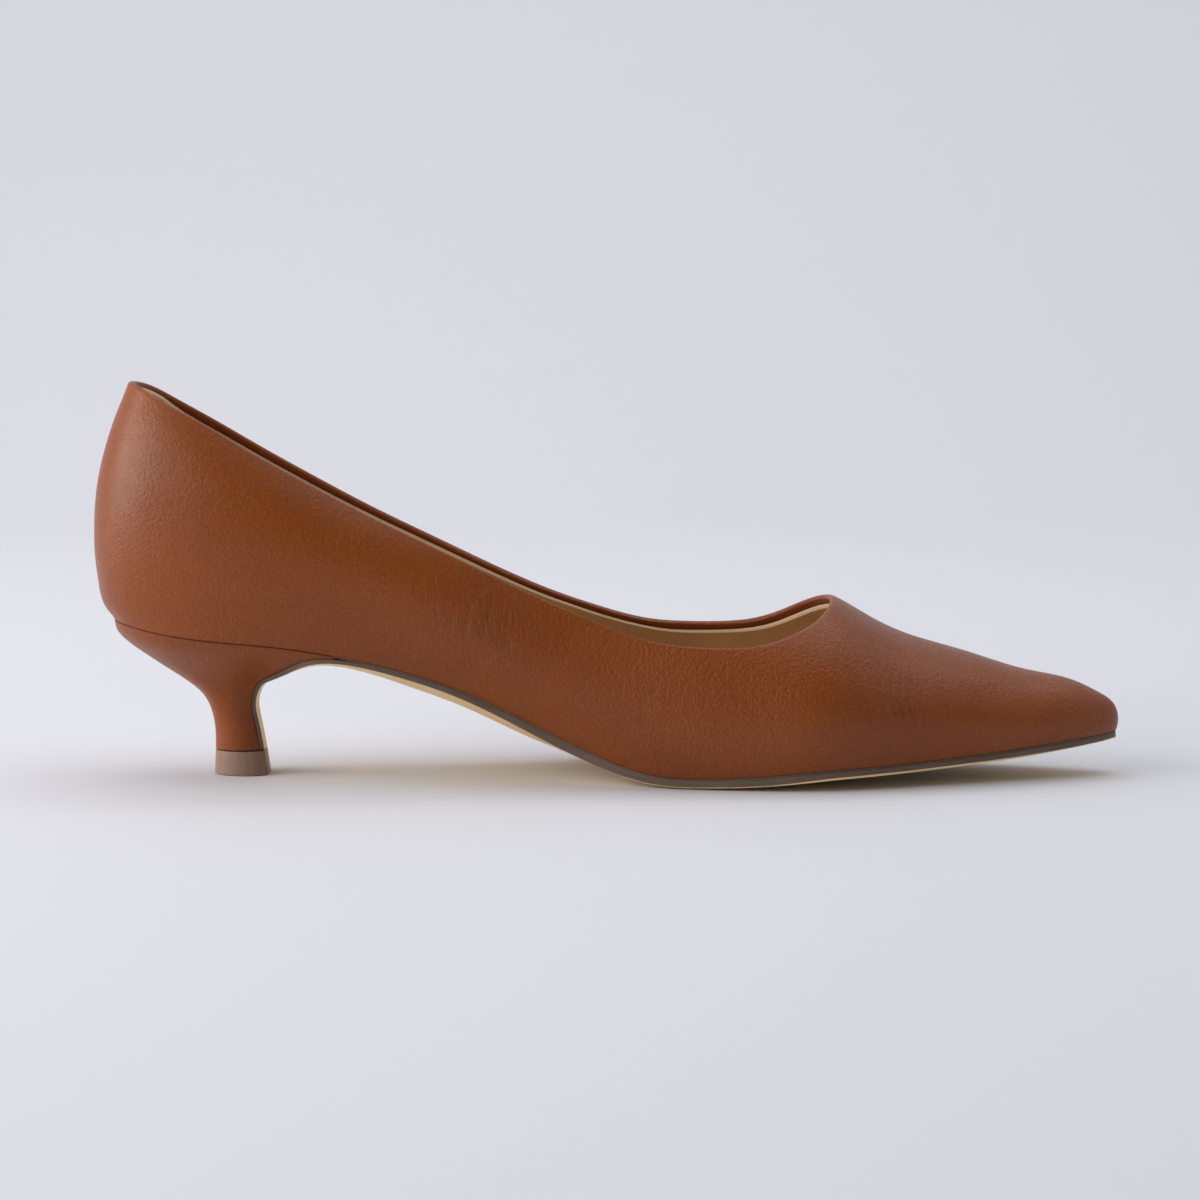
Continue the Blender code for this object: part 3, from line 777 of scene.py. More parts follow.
def sole_path():
    """Side view of the sole's upper face, from the toe along the arch and down the breast."""
    breast_height = feather_height(STEM_FRONT + BREAST_REACH) - GAP - STEM_FOOT
    start = FEATHER_TIP_X - SOLE_INSET
    front_x = start + (ARCH_START_X - start) * round_started(24)
    front = np.stack([front_x, feather_height(front_x) - GAP], -1)
    breast = np.stack(
        [STEM_FRONT + BREAST_REACH * BREAST["reach"], STEM_FOOT + breast_height * BREAST["height"]], -1
    )
    knots = np.concatenate([front, breast])
    lengths = np.append(0, np.cumsum(np.linalg.norm(np.diff(knots, axis=0), axis=1)))
    curve = [spline(lengths / lengths[-1], knots[:, axis]) for axis in (0, 1)]
    return lambda way: np.stack([curve[0](way), curve[1](way)], -1)


def normals_of(points):
    """The direction from the sole's upper face to its underside, for points along its path."""
    run = np.gradient(points, axis=0)
    run /= np.linalg.norm(run, axis=1)[:, None]
    return np.stack([-run[:, 1], run[:, 0]], -1)


def wedge_end_x(path):
    """Where the heel's leather thins out to a seam's width between the upper and the sole."""
    ways = np.linspace(HEEL_PATH_SHARE, 1, OUTLINE_STEPS)
    points = path(ways)
    room = feather_height(points[:, 0]) - 2 * GAP - points[:, 1]
    return float(np.interp(WEDGE_EDGE, room, points[:, 0]))


def front_share(share):
    """How far the narrowing of the heel's front has come, by share of the stem's length."""
    return np.clip((share - STEM_ROUND) / (1 - STEM_ROUND), 0, 1)**2


def heel_half_width(share, x, z, seat_x, side):
    """Half width of the heel: its round-backed stem widens to the outline of the seat."""
    height = np.clip((z - STEM_FOOT) / (feather_height(x) - GAP - STEM_FOOT), 0, 1)
    widening = FLARE_CURVES["side"](height)
    turn = np.clip(1 - share / STEM_ROUND, 0, 1)
    stem = STEM_WIDTH / 2 * np.sqrt(1 - turn**2) * (1 - FRONT_NARROWING * front_share(share))
    return stem + (feather_half_width(seat_x, side) - stem) * widening


def heel_skin(path):
    """Rings of the heel from its foot to the seat."""
    seat_front = wedge_end_x(path)
    breast = path(np.linspace(1, HEEL_PATH_SHARE, OUTLINE_STEPS))
    breast = breast - BREAST_GAP * normals_of(breast[::-1])[::-1]
    breast = breast[breast[:, 0] < seat_front]
    breast[0, 1] = STEM_FOOT
    breast = np.append(breast, [[seat_front, feather_height(seat_front) - GAP]], axis=0)
    heights = np.linspace(0, 1, OUTLINE_STEPS)
    overhang = -STEM_BACK - FEATHER_BACK_X
    back_x = -STEM_BACK - overhang * FLARE_CURVES["back"](heights)
    back_z = STEM_FOOT + (feather_height(FEATHER_BACK_X) - GAP - STEM_FOOT) * heights
    ways = round_started(HEEL_COLUMNS)
    places = filled(
        line_over(lambda x: 0 * x + STEM_FOOT, back_x[0], breast[0, 0]),
        line_over(lambda x: feather_height(x) - GAP, back_x[-1], seat_front),
        along(np.stack([back_x, back_z], -1)),
        along(breast),
        ways,
        np.linspace(0, 1, HEEL_ROWS + 1),
    )
    seat_x = back_x[-1] + (seat_front - back_x[-1]) * ways[None, :]
    half_widths = {}
    for side in SIDES:
        half_widths[side] = heel_half_width(ways[None, :], places[..., 0], places[..., 1], seat_x, side)
        half_widths[side][:, 0] = 0
    return two_sided(dict.fromkeys(SIDES, places), half_widths)


def rounded_ends(rings, radius):
    """Rolls the first and last ring of a skin inwards, as leather or rubber does at an edge."""
    skin = Skin(rings)
    skin.normals[..., 2] = 0
    skin.normals /= np.maximum(np.linalg.norm(skin.normals, axis=2), 1e-9)[..., None]
    inwards, insets = [part[:EDGE_STEPS] for part in half_turn(2 * EDGE_STEPS - 1, radius)]
    inwards = inwards[:, None]
    height = skin.height()[None]
    ways = np.linspace(1, 0, len(rings))[1:-1, None]
    return skin.layer(
        [height - inwards[::-1], radius + (height - 2 * radius) * ways, inwards + 0 * height],
        [insets[::-1], np.zeros(len(ways)), insets],
    )


def plug(tree, socket, value):
    """Links another node's output to a socket, or sets a plain value on it."""
    if isinstance(value, bpy.types.NodeSocket):
        tree.links.new(value, socket)
    else:
        socket.default_value = value


def node(tree, kind, sockets=None, **settings):
    """Adds a shader node. Its sockets go by name or place."""
    added = tree.nodes.new("ShaderNode" + kind)
    for name, value in settings.items():
        setattr(added, name, value)
    for name, value in (sockets or {}).items():
        plug(tree, added.inputs[name], value)
    return added


def dressed(material, **sockets):
    """Sets values or patterns on the sockets of a material's shader."""
    tree = material.node_tree
    for name, value in sockets.items():
        plug(tree, tree.nodes["Principled BSDF"].inputs[name.replace("_", " ")], value)
    return material


def finish(name, roughness, gloss, **sockets):
    """A material with its uniform numbers on the shader's own sockets, and its node tree."""
    material = bpy.data.materials.new(name)
    material.use_nodes = True
    dressed(material, Roughness=roughness, Specular_IOR_Level=gloss, **sockets)
    return material, material.node_tree


def shoe_place(tree):
    """Coordinates in the shoe's own frame."""
    return node(tree, "TexCoord").outputs["Object"]


def noise(tree, source, scale, detail=4.0, roughness=0.5, distortion=0.0):
    """A soft random pattern. Its scale is one number, or one for each axis."""
    if isinstance(scale, tuple):
        source = node(tree, "Mapping", {"Vector": source, "Scale": scale}).outputs["Vector"]
        scale = 1.0
    sockets = {
        "Vector": source, "Scale": scale, "Detail": detail, "Roughness": roughness, "Distortion": distortion
    }
    return node(tree, "TexNoise", sockets).outputs["Fac"]


def pored(tree, source, scale, feature="F1"):
    """A pattern of round cells."""
    return node(tree, "TexVoronoi", {"Vector": source, "Scale": scale}, feature=feature).outputs["Distance"]


def ranged(tree, value, low, high, to_low=0.0, to_high=1.0):
    """Maps a number from one range to another and holds it there."""
    sockets = {"Value": value, "From Min": low, "From Max": high, "To Min": to_low, "To Max": to_high}
    return node(tree, "MapRange", sockets).outputs["Result"]


def blended(tree, share, first, second):
    """A mix of two colours by a share."""
    return node(tree, "Mix", {0: share, 6: first, 7: second}, data_type="RGBA").outputs[2]


def dyed(tree, colour, other, pattern, low=0.3, high=0.7, most=1.0):
    """A colour that turns into another one, up to a share, where a pattern runs from low to high."""
    return blended(tree, ranged(tree, pattern, low, high, 0.0, most), colour, other)


def bumped(tree, height, strength, distance, normal=None):
    """A bump from a height, on top of another one if that is given."""
    sockets = {"Height": height, "Strength": strength, "Distance": distance}
    if normal:
        sockets["Normal"] = normal
    return node(tree, "Bump", sockets).outputs["Normal"]


def maths(tree, operation, first, second):
    """A sum or product of two numbers."""
    return node(tree, "Math", {0: first, 1: second}, operation=operation).outputs[0]


def tan_leather(name):
    """Smooth dyed leather: cloudy dye, pores that deepen to the toe, and wrinkles by the piece's layer."""
    material, tree = finish(name, 0.4, 0.3, Coat_Weight=0.08, Coat_Roughness=0.22)
    place = shoe_place(tree)
    clouds = noise(tree, place, 26.0, 3.0)
    fine = noise(tree, place, 210.0, 5.0, 0.6)
    speckle = noise(tree, place, 1500.0, 3.0, 0.7)
    colour = dyed(tree, LEATHER_LIGHT, LEATHER_DARK, clouds, 0.32, 0.68)
    colour = dyed(tree, colour, LEATHER_DARK, fine, 0.35, 0.75, 0.4)
    colour = dyed(tree, colour, LEATHER_PORE, speckle, 0.45, 0.75, 0.55)
    colour = dyed(tree, colour, LEATHER_FLECK, speckle, 0.5, 0.28, 0.25)
    fine_roughness = ranged(tree, fine, 0.3, 0.7, 0.36, 0.44)
    speckle_roughness = ranged(tree, speckle, 0.3, 0.8, -0.02, 0.05)
    roughness = maths(tree, "ADD", fine_roughness, speckle_roughness)
    pores = pored(tree, place, 1350.0, "SMOOTH_F1")
    grain = maths(tree, "ADD", pores, maths(tree, "MULTIPLY", speckle, 0.6))
    along_shoe = node(tree, "SeparateXYZ", {"Vector": place}).outputs["X"]
    grain = maths(tree, "MULTIPLY", grain, ranged(tree, along_shoe, 0.05, 0.15, 1.0, 1.9))
    normal = bumped(tree, grain, 0.55, 0.0002)
    normal = bumped(tree, noise(tree, place, 55.0, 2.0), 0.25, 0.0009, normal)
    wrinkled = node(tree, "Attribute", attribute_name="wrinkled").outputs["Fac"]
    lines = noise(tree, place, (900.0, 400.0, 200.0), 3.0, 0.6, 0.9)
    ridges = maths(tree, "MULTIPLY", ranged(tree, lines, 0.38, 0.62), wrinkled)
    normal = bumped(tree, ridges, 0.5, 0.00022, normal)
    return dressed(material, Base_Color=colour, Roughness=roughness, Normal=normal)


def lining_leather():
    """Pale tan lining with a raw, lighter cut edge along its top."""
    material, tree = finish("lining_leather", 0.62, 0.3)
    place = shoe_place(tree)
    cut = node(tree, "Attribute", attribute_name="cut_edge").outputs["Fac"]
    clouds = noise(tree, place, 60.0)
    fibres = noise(tree, place, 1900.0, 4.0, 0.7)
    face = dyed(tree, (0.64, 0.38, 0.175, 1), (0.55, 0.315, 0.14, 1), clouds)
    face = dyed(tree, face, (0.42, 0.23, 0.1, 1), fibres, 0.4, 0.8, 0.3)
    edge = dyed(tree, (0.84, 0.61, 0.39, 1), (0.7, 0.49, 0.3, 1), fibres)
    normal = bumped(tree, pored(tree, place, 1500.0), 0.18, 0.0001)
    normal = bumped(tree, fibres, 0.2, 0.0001, normal)
    return dressed(material, Base_Color=blended(tree, cut, face, edge), Normal=normal)


def sole_leather():
    """Cream sole leather under a painted edge. The piece's own map runs along it and across its edge."""
    material, tree = finish("sole_leather", 0.5, 0.3, Coat_Weight=0.04, Coat_Roughness=0.3)
    strip = node(tree, "UVMap", uv_map="strip").outputs["UV"]
    across = node(tree, "SeparateXYZ", {"Vector": strip}).outputs["Y"]
    waver = noise(tree, strip, (180.0, 1.0, 1.0), 3.0)
    line = maths(tree, "ADD", across, maths(tree, "MULTIPLY", waver, 0.00016))
    painted = ranged(tree, line, 0.00003, 0.00012, 1.0, 0.0)
    streaks = noise(tree, strip, (110.0, 7500.0, 1.0), 4.0, 0.65)
    blotches = noise(tree, strip, (90.0, 300.0, 1.0), 2.0)
    paint = dyed(tree, (0.11, 0.07, 0.048, 1), (0.21, 0.145, 0.103, 1), streaks, 0.3, 0.72)
    paint = dyed(tree, paint, (0.095, 0.06, 0.04, 1), blotches, 0.35, 0.7, 0.45)
    place = shoe_place(tree)
    clouds = noise(tree, place, 40.0)
    fibres = noise(tree, place, 1300.0, 4.0, 0.7)
    cream = dyed(tree, (0.95, 0.7, 0.35, 1), (0.88, 0.62, 0.29, 1), clouds)
    cream = dyed(tree, cream, (0.74, 0.48, 0.22, 1), fibres, 0.4, 0.8, 0.25)
    colour = blended(tree, painted, cream, paint)
    roughness = ranged(tree, streaks, 0.2, 0.8, 0.4, 0.6)
    normal = bumped(tree, maths(tree, "MULTIPLY", streaks, painted), 0.35, 0.00014)
    normal = bumped(tree, fibres, 0.12, 0.0001, normal)
    return dressed(material, Base_Color=colour, Roughness=roughness, Normal=normal)


def tip_rubber():
    """Hard taupe rubber, with the fine upright lines of a trimmed edge."""
    material, tree = finish("tip_rubber", 0.5, 0.4)
    place = shoe_place(tree)
    lines = noise(tree, place, (1500.0, 1500.0, 60.0), 3.0, 0.6)
    clouds = noise(tree, place, 160.0, 3.0)
    colour = dyed(tree, (0.32, 0.2, 0.145, 1), (0.25, 0.15, 0.108, 1), lines)
    colour = dyed(tree, colour, (0.21, 0.122, 0.085, 1), clouds, 0.4, 0.7, 0.4)
    roughness = ranged(tree, lines, 0.3, 0.7, 0.44, 0.6)
    return dressed(
        material, Base_Color=colour, Roughness=roughness, Normal=bumped(tree, lines, 0.3, 0.0001)
    )


def sock_leather():
    """The sock over the insole: pale, slightly blotched leather."""
    material, tree = finish("sock_leather", 0.58, 0.35)
    place = shoe_place(tree)
    clouds = noise(tree, place, 45.0)
    fibres = noise(tree, place, 1700.0, 4.0, 0.7)
    colour = dyed(tree, (0.52, 0.36, 0.2, 1), (0.43, 0.285, 0.15, 1), clouds)
    colour = dyed(tree, colour, (0.35, 0.22, 0.115, 1), fibres, 0.4, 0.8, 0.3)
    roughness = ranged(tree, clouds, 0.3, 0.7, 0.5, 0.62)
    normal = bumped(tree, pored(tree, place, 1300.0), 0.2, 0.00012)
    return dressed(material, Base_Color=colour, Roughness=roughness, Normal=normal)


def seam_shade_and_paint():
    """Seam bead colour: dark brown round the heel as painted shade in the seam there, and the colour of the
    painted edge along the sole.
    """
    material, tree = finish("seam_shade_and_paint", 0.6, 0.2)
    place = shoe_place(tree)
    clouds = noise(tree, place, 400.0, 3.0)
    along_shoe = node(tree, "SeparateXYZ", {"Vector": place}).outputs["X"]
    # Dark brown round the heel: painted shade in the seam between the heel cover and the upper
    heel_seam_shade = dyed(tree, (0.09, 0.026, 0.009, 1), (0.15, 0.045, 0.017, 1), clouds)
    # Along the sole the bead takes the colour of the real painted edge
    sole_seam_paint = dyed(tree, (0.16, 0.1, 0.066, 1), (0.21, 0.135, 0.09, 1), clouds)
    colour = dyed(tree, heel_seam_shade, sole_seam_paint, along_shoe, SHADE_TO_PAINT_START_X, SHADE_TO_PAINT_END_X)
    return dressed(material, Base_Color=colour, Normal=bumped(tree, clouds, 0.2, 0.0001))


def make_upper():
    """Outer leather with its folded top edge and turned lower edge. Gives back its outer face."""
    skin = Skin(upper_skin())
    skin.rings = creased(skin.rings, skin.normals)
    height = skin.height()[None]
    top_depths, top_insets = half_turn(11, FOLD_THICKNESS / 2)
    low_depths, low_insets = half_turn(7, TURNED_EDGE / 2)
    outer = np.linspace(0, 1, UPPER_OUTER_ROWS + 2)[1:-1, None]
    inner = np.linspace(0, 1, UPPER_INNER_ROWS + 2)[1:-1, None]
    top = FOLD_THICKNESS / 2
    low = height - TURNED_EDGE / 2
    depths = [
        height - low_depths[::-1, None],
        low + (top - low) * outer,
        top_depths[:, None] + 0 * height,
        top + (low - top) * inner**1.5,
    ]
    insets = [
        low_insets[::-1],
        np.zeros(UPPER_OUTER_ROWS),
        top_insets,
        FOLD_THICKNESS + (TURNED_EDGE - FOLD_THICKNESS) * inner[:, 0],
    ]
    leather = tan_leather("tan_leather")
    piece = woven("upper_leather", skin.layer(depths, insets), leather, closed_rows=True)
    share_layer(piece, "wrinkled", wrinkle_shares(points_of(piece)))
    placed(piece, "tan_leather", "upper")
    return skin


def make_lining(skin):
    """Lining inside the upper, from its bevelled, cut top edge down to the sock."""
    height = skin.height()[None]
    drop = np.interp(share_of(skin.rings[-1, :, 0]), LINING_LINE["share"], LINING_LINE["drop"])[None]
    foot = height - LINING_FOOT
    face_start = drop + 1.25 * LINING_BEVEL
    bevel = np.linspace(0, 1, LINING_BEVEL_ROWS)[:, None]
    inner = np.linspace(0, 1, LINING_ROWS)[:, None]
    back = np.linspace(0, 1, LINING_BACK_ROWS)[:, None]
    depths = [
        drop + LINING_BEVEL * bevel**1.6,
        face_start + (foot - face_start) * inner,
        foot + (drop + LINING_TOP_STEP - foot) * back,
    ]
    insets = [
        LINING_INSET + LINING_THICKNESS * (0.1 + 0.9 * bevel[:, 0]),
        np.full(LINING_ROWS, LINING_INSET + LINING_THICKNESS),
        np.full(LINING_BACK_ROWS, LINING_INSET),
    ]
    rings = skin.layer(depths, insets)
    piece = woven("lining", rings, lining_leather(), closed_rows=True)
    cut = np.arange(len(rings)) < LINING_BEVEL_ROWS
    share_layer(piece, "cut_edge", np.repeat(cut, rings.shape[1]))
    placed(piece, "tan_leather")


def inset_outline(x, side, distance):
    """The feather edge's outline on one side, moved inwards by a distance, as half widths over x."""
    half = last_half_width(x, feather_height(x, side), side)
    half[[0, -1]] = 0
    step = np.stack([np.gradient(x), np.gradient(half)], -1)
    step /= np.linalg.norm(step, axis=1)[:, None]
    moved = x + distance * step[:, 1], half - distance * step[:, 0]
    inside = moved[1] > 0
    return moved[0][inside], moved[1][inside]


def inset_outlines(distance):
    """Both sides' outlines moved inwards by a distance, and where both of them start and end."""
    x = FEATHER_BACK_X + (FEATHER_TIP_X - FEATHER_BACK_X) * round_ended(4 * OUTLINE_STEPS)
    outlines = {side: inset_outline(x, side, distance) for side in SIDES}
    start = max(outline[0][0] for outline in outlines.values())
    end = min(outline[0][-1] for outline in outlines.values())
    return outlines, start, end


def make_sock():
    """The insole with its sock: a thin plate, a little cupped, inside the lining."""
    outlines, start, end = inset_outlines(INSOLE_INSET)
    ways = start + (end - start) * round_ended(SOCK_SECTIONS)[1:-1]
    share = np.linspace(-1, 1, SOCK_POINTS)
    rings = []
    for place in ways:
        reach = [float(np.interp(place, *outlines[side])) for side in SIDES]
        low, high = feather_height(place, "in"), feather_height(place, "out")
        across = np.interp(share, (-1, 1), (-reach[0], reach[1]))
        base = np.interp(share, (-1, 1), (low, high))
        cup = SOCK_CUP * np.abs(share)**5 * min(1, reach[0] / SOCK_CUP_WIDTH)
        top = [(place, y, z + INSOLE_THICKNESS + lift) for y, z, lift in zip(across, base, cup)]
        under = [(place, y, z + SOCK_CLEARANCE) for y, z in zip(across, base)]
        rings.append(under + top[::-1])
    piece = woven("sock", np.array(rings), sock_leather(), caps="flat")
    placed(piece, "insole_board", "insole")


def make_heel(path):
    """The heel in its leather cover, which is wrinkled towards the seat."""
    rings = rounded_ends(heel_skin(path), HEEL_ROUNDING)
    piece = woven("heel_cover", rings, tan_leather("heel_cover_leather"), caps="ladder")
    drop = SEAT_HEIGHT - SEAT_WRINKLE_DROP - points_of(piece)[:, 2]
    near_seat = np.clip(1 - drop / SEAT_WRINKLE_FADE, 0, 1)
    share_layer(piece, "wrinkled", SEAT_WRINKLE_STRENGTH * near_seat)
    placed(piece, "tan_heel_cover", "heel")


def sole_profile(edge):
    """One side of a section through the sole: insets from its edge, and depths under its top."""
    turn = min(SOLE_ROUNDING, edge / 2.5)
    angles = np.linspace(0, math.pi / 2, 7)
    low_inset = turn * (1 - np.cos(angles))
    low_depth = edge - turn * (1 - np.sin(angles))
    top = [(SOLE_TOP_BEVEL, 0.0), (0.0, SOLE_TOP_BEVEL)]
    side = [(0.0, (edge - turn) * share) for share in (0.3, 0.6, 0.85)]
    return top + side + list(zip(low_inset, low_depth))


def make_sole(path):
    """The sole, from the toe through the arch and down the breast of the heel."""
    ways = round_started(SOLE_SECTIONS)
    top = path(ways)
    down = normals_of(top)
    down[-1] = 1, 0
    edge = FLAP_THICKNESS + (SOLE_EDGE - FLAP_THICKNESS) * SOLE_CURVES["edge"](ways)
    crown = WAIST_CROWN * SOLE_CURVES["crown"](ways)
    paint = SOLE_EDGE * np.interp(ways, PAINT_LINE["way"], PAINT_LINE["depth"])
    seat_x = np.maximum(top[:, 0], wedge_end_x(path))
    half_widths = {
        side: np.where(
            top[:, 0] > ARCH_START_X,
            feather_half_width(top[:, 0], side),
            heel_half_width(1.0, top[:, 0], top[:, 1], seat_x, side),
        )
        for side in SIDES
    }
    drop = feather_height(top[:, 0]) - feather_height(top[:, 0], "out")
    run = np.append(0, np.cumsum(np.linalg.norm(np.diff(top, axis=0), axis=1)))
    rings, strip = [], []
    for place in range(len(ways)):
        reach = [max(half_widths[side][place], SOLE_LEAST_WIDTH) for side in SIDES]
        flat = min(1.0, min(reach) / SOLE_FULL_WIDTH)
        profile = [(inset * flat, depth) for inset, depth in sole_profile(edge[place])]
        near = [(-reach[0] + inset, depth) for inset, depth in profile]
        far = [(reach[1] - inset, depth) for inset, depth in profile][::-1]
        share = np.linspace(-1, 1, SOLE_UNDER_POINTS + 2)[1:-1]
        middle = (reach[1] - reach[0]) / 2, (reach[0] + reach[1]) / 2 - SOLE_ROUNDING * flat
        under = [(middle[0] + middle[1] * s, edge[place] + crown[place] * (1 - s**2)) for s in share]
        v_near = [depth - paint[place] for _, depth in profile]
        v_under = [edge[place] - paint[place] + middle[1] * (1 - abs(s)) for s in share]
        section, across = near + under + far, v_near + v_under + v_near[::-1]
        ring = []
        for y, depth in section:
            tilt = drop[place] * (y + reach[0]) / (reach[0] + reach[1])
            x, z = top[place] + depth * down[place]
            ring.append((x, y, max(z - tilt, 0)))
        rings.append(ring)
        strip.append([(run[place], v) for v in across])
    rings, strip = np.array(rings), np.array(strip)
    piece = woven("sole", rings[::-1], sole_leather())
    mesh = piece.data
    layer = mesh.uv_layers.new(name="strip")
    corners = np.empty(len(mesh.loops), dtype=np.int64)
    mesh.loops.foreach_get("vertex_index", corners)
    layer.data.foreach_set("uv", strip[::-1].reshape(-1, 2)[corners].astype(np.float32).ravel())
    sealed(mesh, open_ends=True)
    placed(piece, "sole_leather", "outsole")


def make_tip(path):
    """The heel tip with its trimmed, slightly rounded edges."""
    front = float(path(1.0)[0]) + FLAP_THICKNESS
    shares = round_started(TIP_COLUMNS)
    turn = np.clip(1 - shares / STEM_ROUND, 0, 1)
    outline = np.sqrt(1 - turn**2) * (1 - FRONT_NARROWING * front_share(shares))
    places, half_widths = [], []
    for height in np.linspace(0, 1, TIP_ROWS):
        flare = LIFT_FLARE * (1 - height)
        front_flare = LIFT_FRONT_FLARE * (1 - height)
        x = -STEM_BACK - flare + (front + front_flare + STEM_BACK + flare) * shares
        places.append(np.stack([x, np.full_like(x, LIFT_HEIGHT * height)], -1))
        half_widths.append((STEM_WIDTH / 2 + flare) * outline)
    rings = two_sided(dict.fromkeys(SIDES, np.array(places)), dict.fromkeys(SIDES, np.array(half_widths)))
    piece = woven("heel_tip", rounded_ends(rings, LIFT_ROUNDING), tip_rubber(), caps="ladder")
    placed(piece, "heel_tip_rubber", "top_lift")


def bead_tree(material):
    """Geometry nodes: a round bead in the material it is given, following every edge line it is given."""
    tree = bpy.data.node_groups.new("seam_bead", "GeometryNodeTree")
    tree.interface.new_socket("Geometry", in_out="INPUT", socket_type="NodeSocketGeometry")
    radius = tree.interface.new_socket("Bead Radius", in_out="INPUT", socket_type="NodeSocketFloat")
    tree.interface.new_socket("Geometry", in_out="OUTPUT", socket_type="NodeSocketGeometry")
    entry = tree.nodes.new("NodeGroupInput")
    line = tree.nodes.new("GeometryNodeMeshToCurve")
    ring = tree.nodes.new("GeometryNodeCurvePrimitiveCircle")
    ring.inputs["Resolution"].default_value = 7
    sweep = tree.nodes.new("GeometryNodeCurveToMesh")
    sweep.inputs["Fill Caps"].default_value = True
    realized = tree.nodes.new("GeometryNodeRealizeInstances")
    painted = tree.nodes.new("GeometryNodeSetMaterial")
    painted.inputs["Material"].default_value = material
    leave = tree.nodes.new("NodeGroupOutput")
    for giver, output, taker, entrance in (
        (entry, "Geometry", line, "Mesh"),
        (entry, "Bead Radius", ring, "Radius"),
        (line, "Curve", sweep, "Curve"),
        (ring, "Curve", sweep, "Profile Curve"),
        (sweep, "Mesh", realized, "Geometry"),
        (realized, "Geometry", painted, "Geometry"),
        (painted, "Geometry", leave, "Geometry"),
    ):
        tree.links.new(giver.outputs[output], taker.inputs[entrance])
    return tree, radius.identifier


def make_seams():
    """Beads along the seams between upper, sole and heel: painted shade round the heel, edge paint along
    the sole.
    """
    outlines, start, end = inset_outlines(SEAM_INSET)
    ways = start + (end - start) * round_ended(SEAM_STEPS)
    lines = []
    for side in SIDES:
        half = np.interp(ways, *outlines[side])
        half[[0, -1]] = 0
        lines.append(np.stack([ways, SIGN[side] * half, feather_height(ways, side) - GAP / 2], -1))
    points = np.concatenate([lines[0], lines[1][-2:0:-1]])
    edges = [(place, (place + 1) % len(points)) for place in range(len(points))]
    mesh = bpy.data.meshes.new("seam_lines")
    mesh.from_pydata(points.tolist(), edges, [])
    seam_lines = linked("seam_lines", mesh)
    beads = seam_lines.modifiers.new("beads", "NODES")
    beads.node_group, radius = bead_tree(seam_shade_and_paint())
    beads[radius] = BEAD_RADIUS
    bpy.context.view_layer.update()
    evaluated = seam_lines.evaluated_get(bpy.context.evaluated_depsgraph_get())
    swept = bpy.data.meshes.new_from_object(evaluated)
    swept.name = "seam_beads"
    swept.shade_smooth()
    bpy.data.objects.remove(seam_lines)
    placed(linked("seam_beads", swept), "sole_leather")


def plain_sheet(name, points, faces, roughness, gloss, colour):
    """A sheet of the studio in one plain colour."""
    material, _ = finish(name, roughness, gloss, Base_Color=colour)
    mesh = bpy.data.meshes.new(name)
    mesh.from_pydata(points, [], faces)
    mesh.materials.append(material)
    mesh.shade_smooth()
    return linked(name, mesh)


def studio_floor():
    """A seamless sheet of pale paper that curves up behind the shoe."""
    turn = np.linspace(0, math.pi / 2, 24)
    depth = np.concatenate([[FLOOR_FRONT_Y], SWEEP_START + SWEEP_RADIUS * np.sin(turn)])
    depth = np.append(depth, depth[-1])
    rise = np.concatenate([[0], SWEEP_RADIUS * (1 - np.cos(turn)), [FLOOR_TOP]])
    points = [(x, y, z - FLOOR_CLEARANCE) for y, z in zip(depth, rise) for x in FLOOR_SPAN]
    faces = [(2 * row, 2 * row + 1, 2 * row + 3, 2 * row + 2) for row in range(len(depth) - 1)]
    floor = plain_sheet("studio_floor", points, faces, 0.75, 0.2, (0.735, 0.74, 0.783, 1))


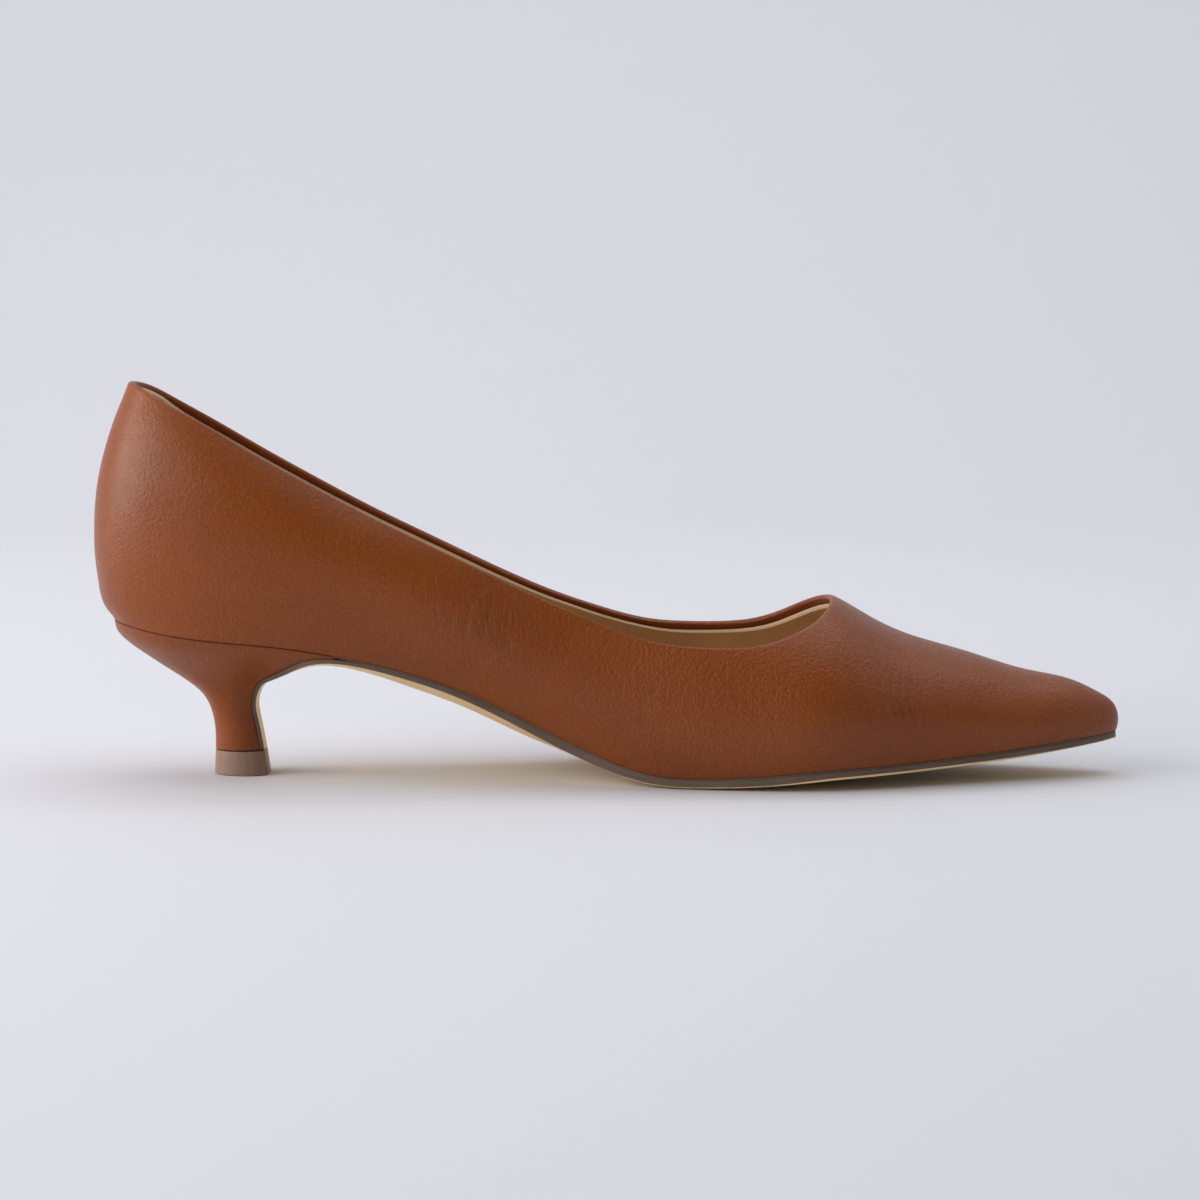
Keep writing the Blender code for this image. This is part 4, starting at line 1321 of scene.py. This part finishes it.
def dark_card():
    """A black card behind the camera: the unlit side of the studio, so the shoe's front stays deep."""
    low, high = CARD_HEIGHTS
    left, right = CARD_SPAN
    points = [(left, CARD_Y, low), (right, CARD_Y, low), (right, CARD_Y, high), (left, CARD_Y, high)]
    card = plain_sheet("dark_card", points, [(3, 2, 1, 0)], 0.9, 0.1, (0.02, 0.02, 0.022, 1))


def softbox(name, place, target, size, power, colour):
    """A large soft lamp that faces a point."""
    lamp = bpy.data.lights.new(name, "AREA")
    lamp.shape = "RECTANGLE"
    lamp.size, lamp.size_y = size
    lamp.energy = power
    lamp.color = colour
    box = linked(name, lamp)
    box.location = place
    box.rotation_euler = (Vector(target) - Vector(place)).to_track_quat("-Z", "Y").to_euler()


def studio():
    """Lamps, room light and camera."""
    softbox("left_softbox", (-1.1, -0.22, 0.4), LAMP_TARGET, (0.8, 0.7), 7.5, (1.0, 0.985, 0.96))
    softbox("window_strip", (-1.1, 0.22, 0.45), LAMP_TARGET, (0.18, 0.9), 1.6, (1.0, 0.99, 0.97))
    softbox("main_softbox", (-0.95, -0.85, 0.75), LAMP_TARGET, (1.2, 0.8), 5.6, (1.0, 0.985, 0.965))
    softbox("top_softbox", (0.15, 0.25, 1.35), LAMP_TARGET, (1.6, 1.3), 5.2, (0.98, 0.985, 1.0))
    softbox("backdrop_lamp", (0.1, 0.8, 1.8), (0.1, 2.0, 0.5), (2.4, 0.6), 6.6, (0.97, 0.98, 1.0))
    world = bpy.data.worlds.new("studio_room")
    world.use_nodes = True
    room_light = world.node_tree.nodes["Background"]
    room_light.inputs["Color"].default_value = (0.97, 0.975, 1.0, 1)
    room_light.inputs["Strength"].default_value = 0.62
    scene = bpy.context.scene
    scene.world = world
    scene.view_settings.view_transform = "Standard"
    camera = bpy.data.cameras.new("camera")
    camera.sensor_width = 36
    camera.lens = CAMERA_LENS
    eye = linked("camera", camera)
    slope = math.radians(CAMERA_ANGLE)
    x, z = CAMERA_TARGET
    eye.location = (x, -CAMERA_DISTANCE * math.cos(slope), z + CAMERA_DISTANCE * math.sin(slope))
    eye.rotation_euler = (math.pi / 2 - slope, 0, 0)
    scene.camera = eye


sole_line = sole_path()
make_lining(make_upper())
make_sock()
make_heel(sole_line)
make_sole(sole_line)
make_tip(sole_line)
make_seams()
studio_floor()
dark_card()
studio()
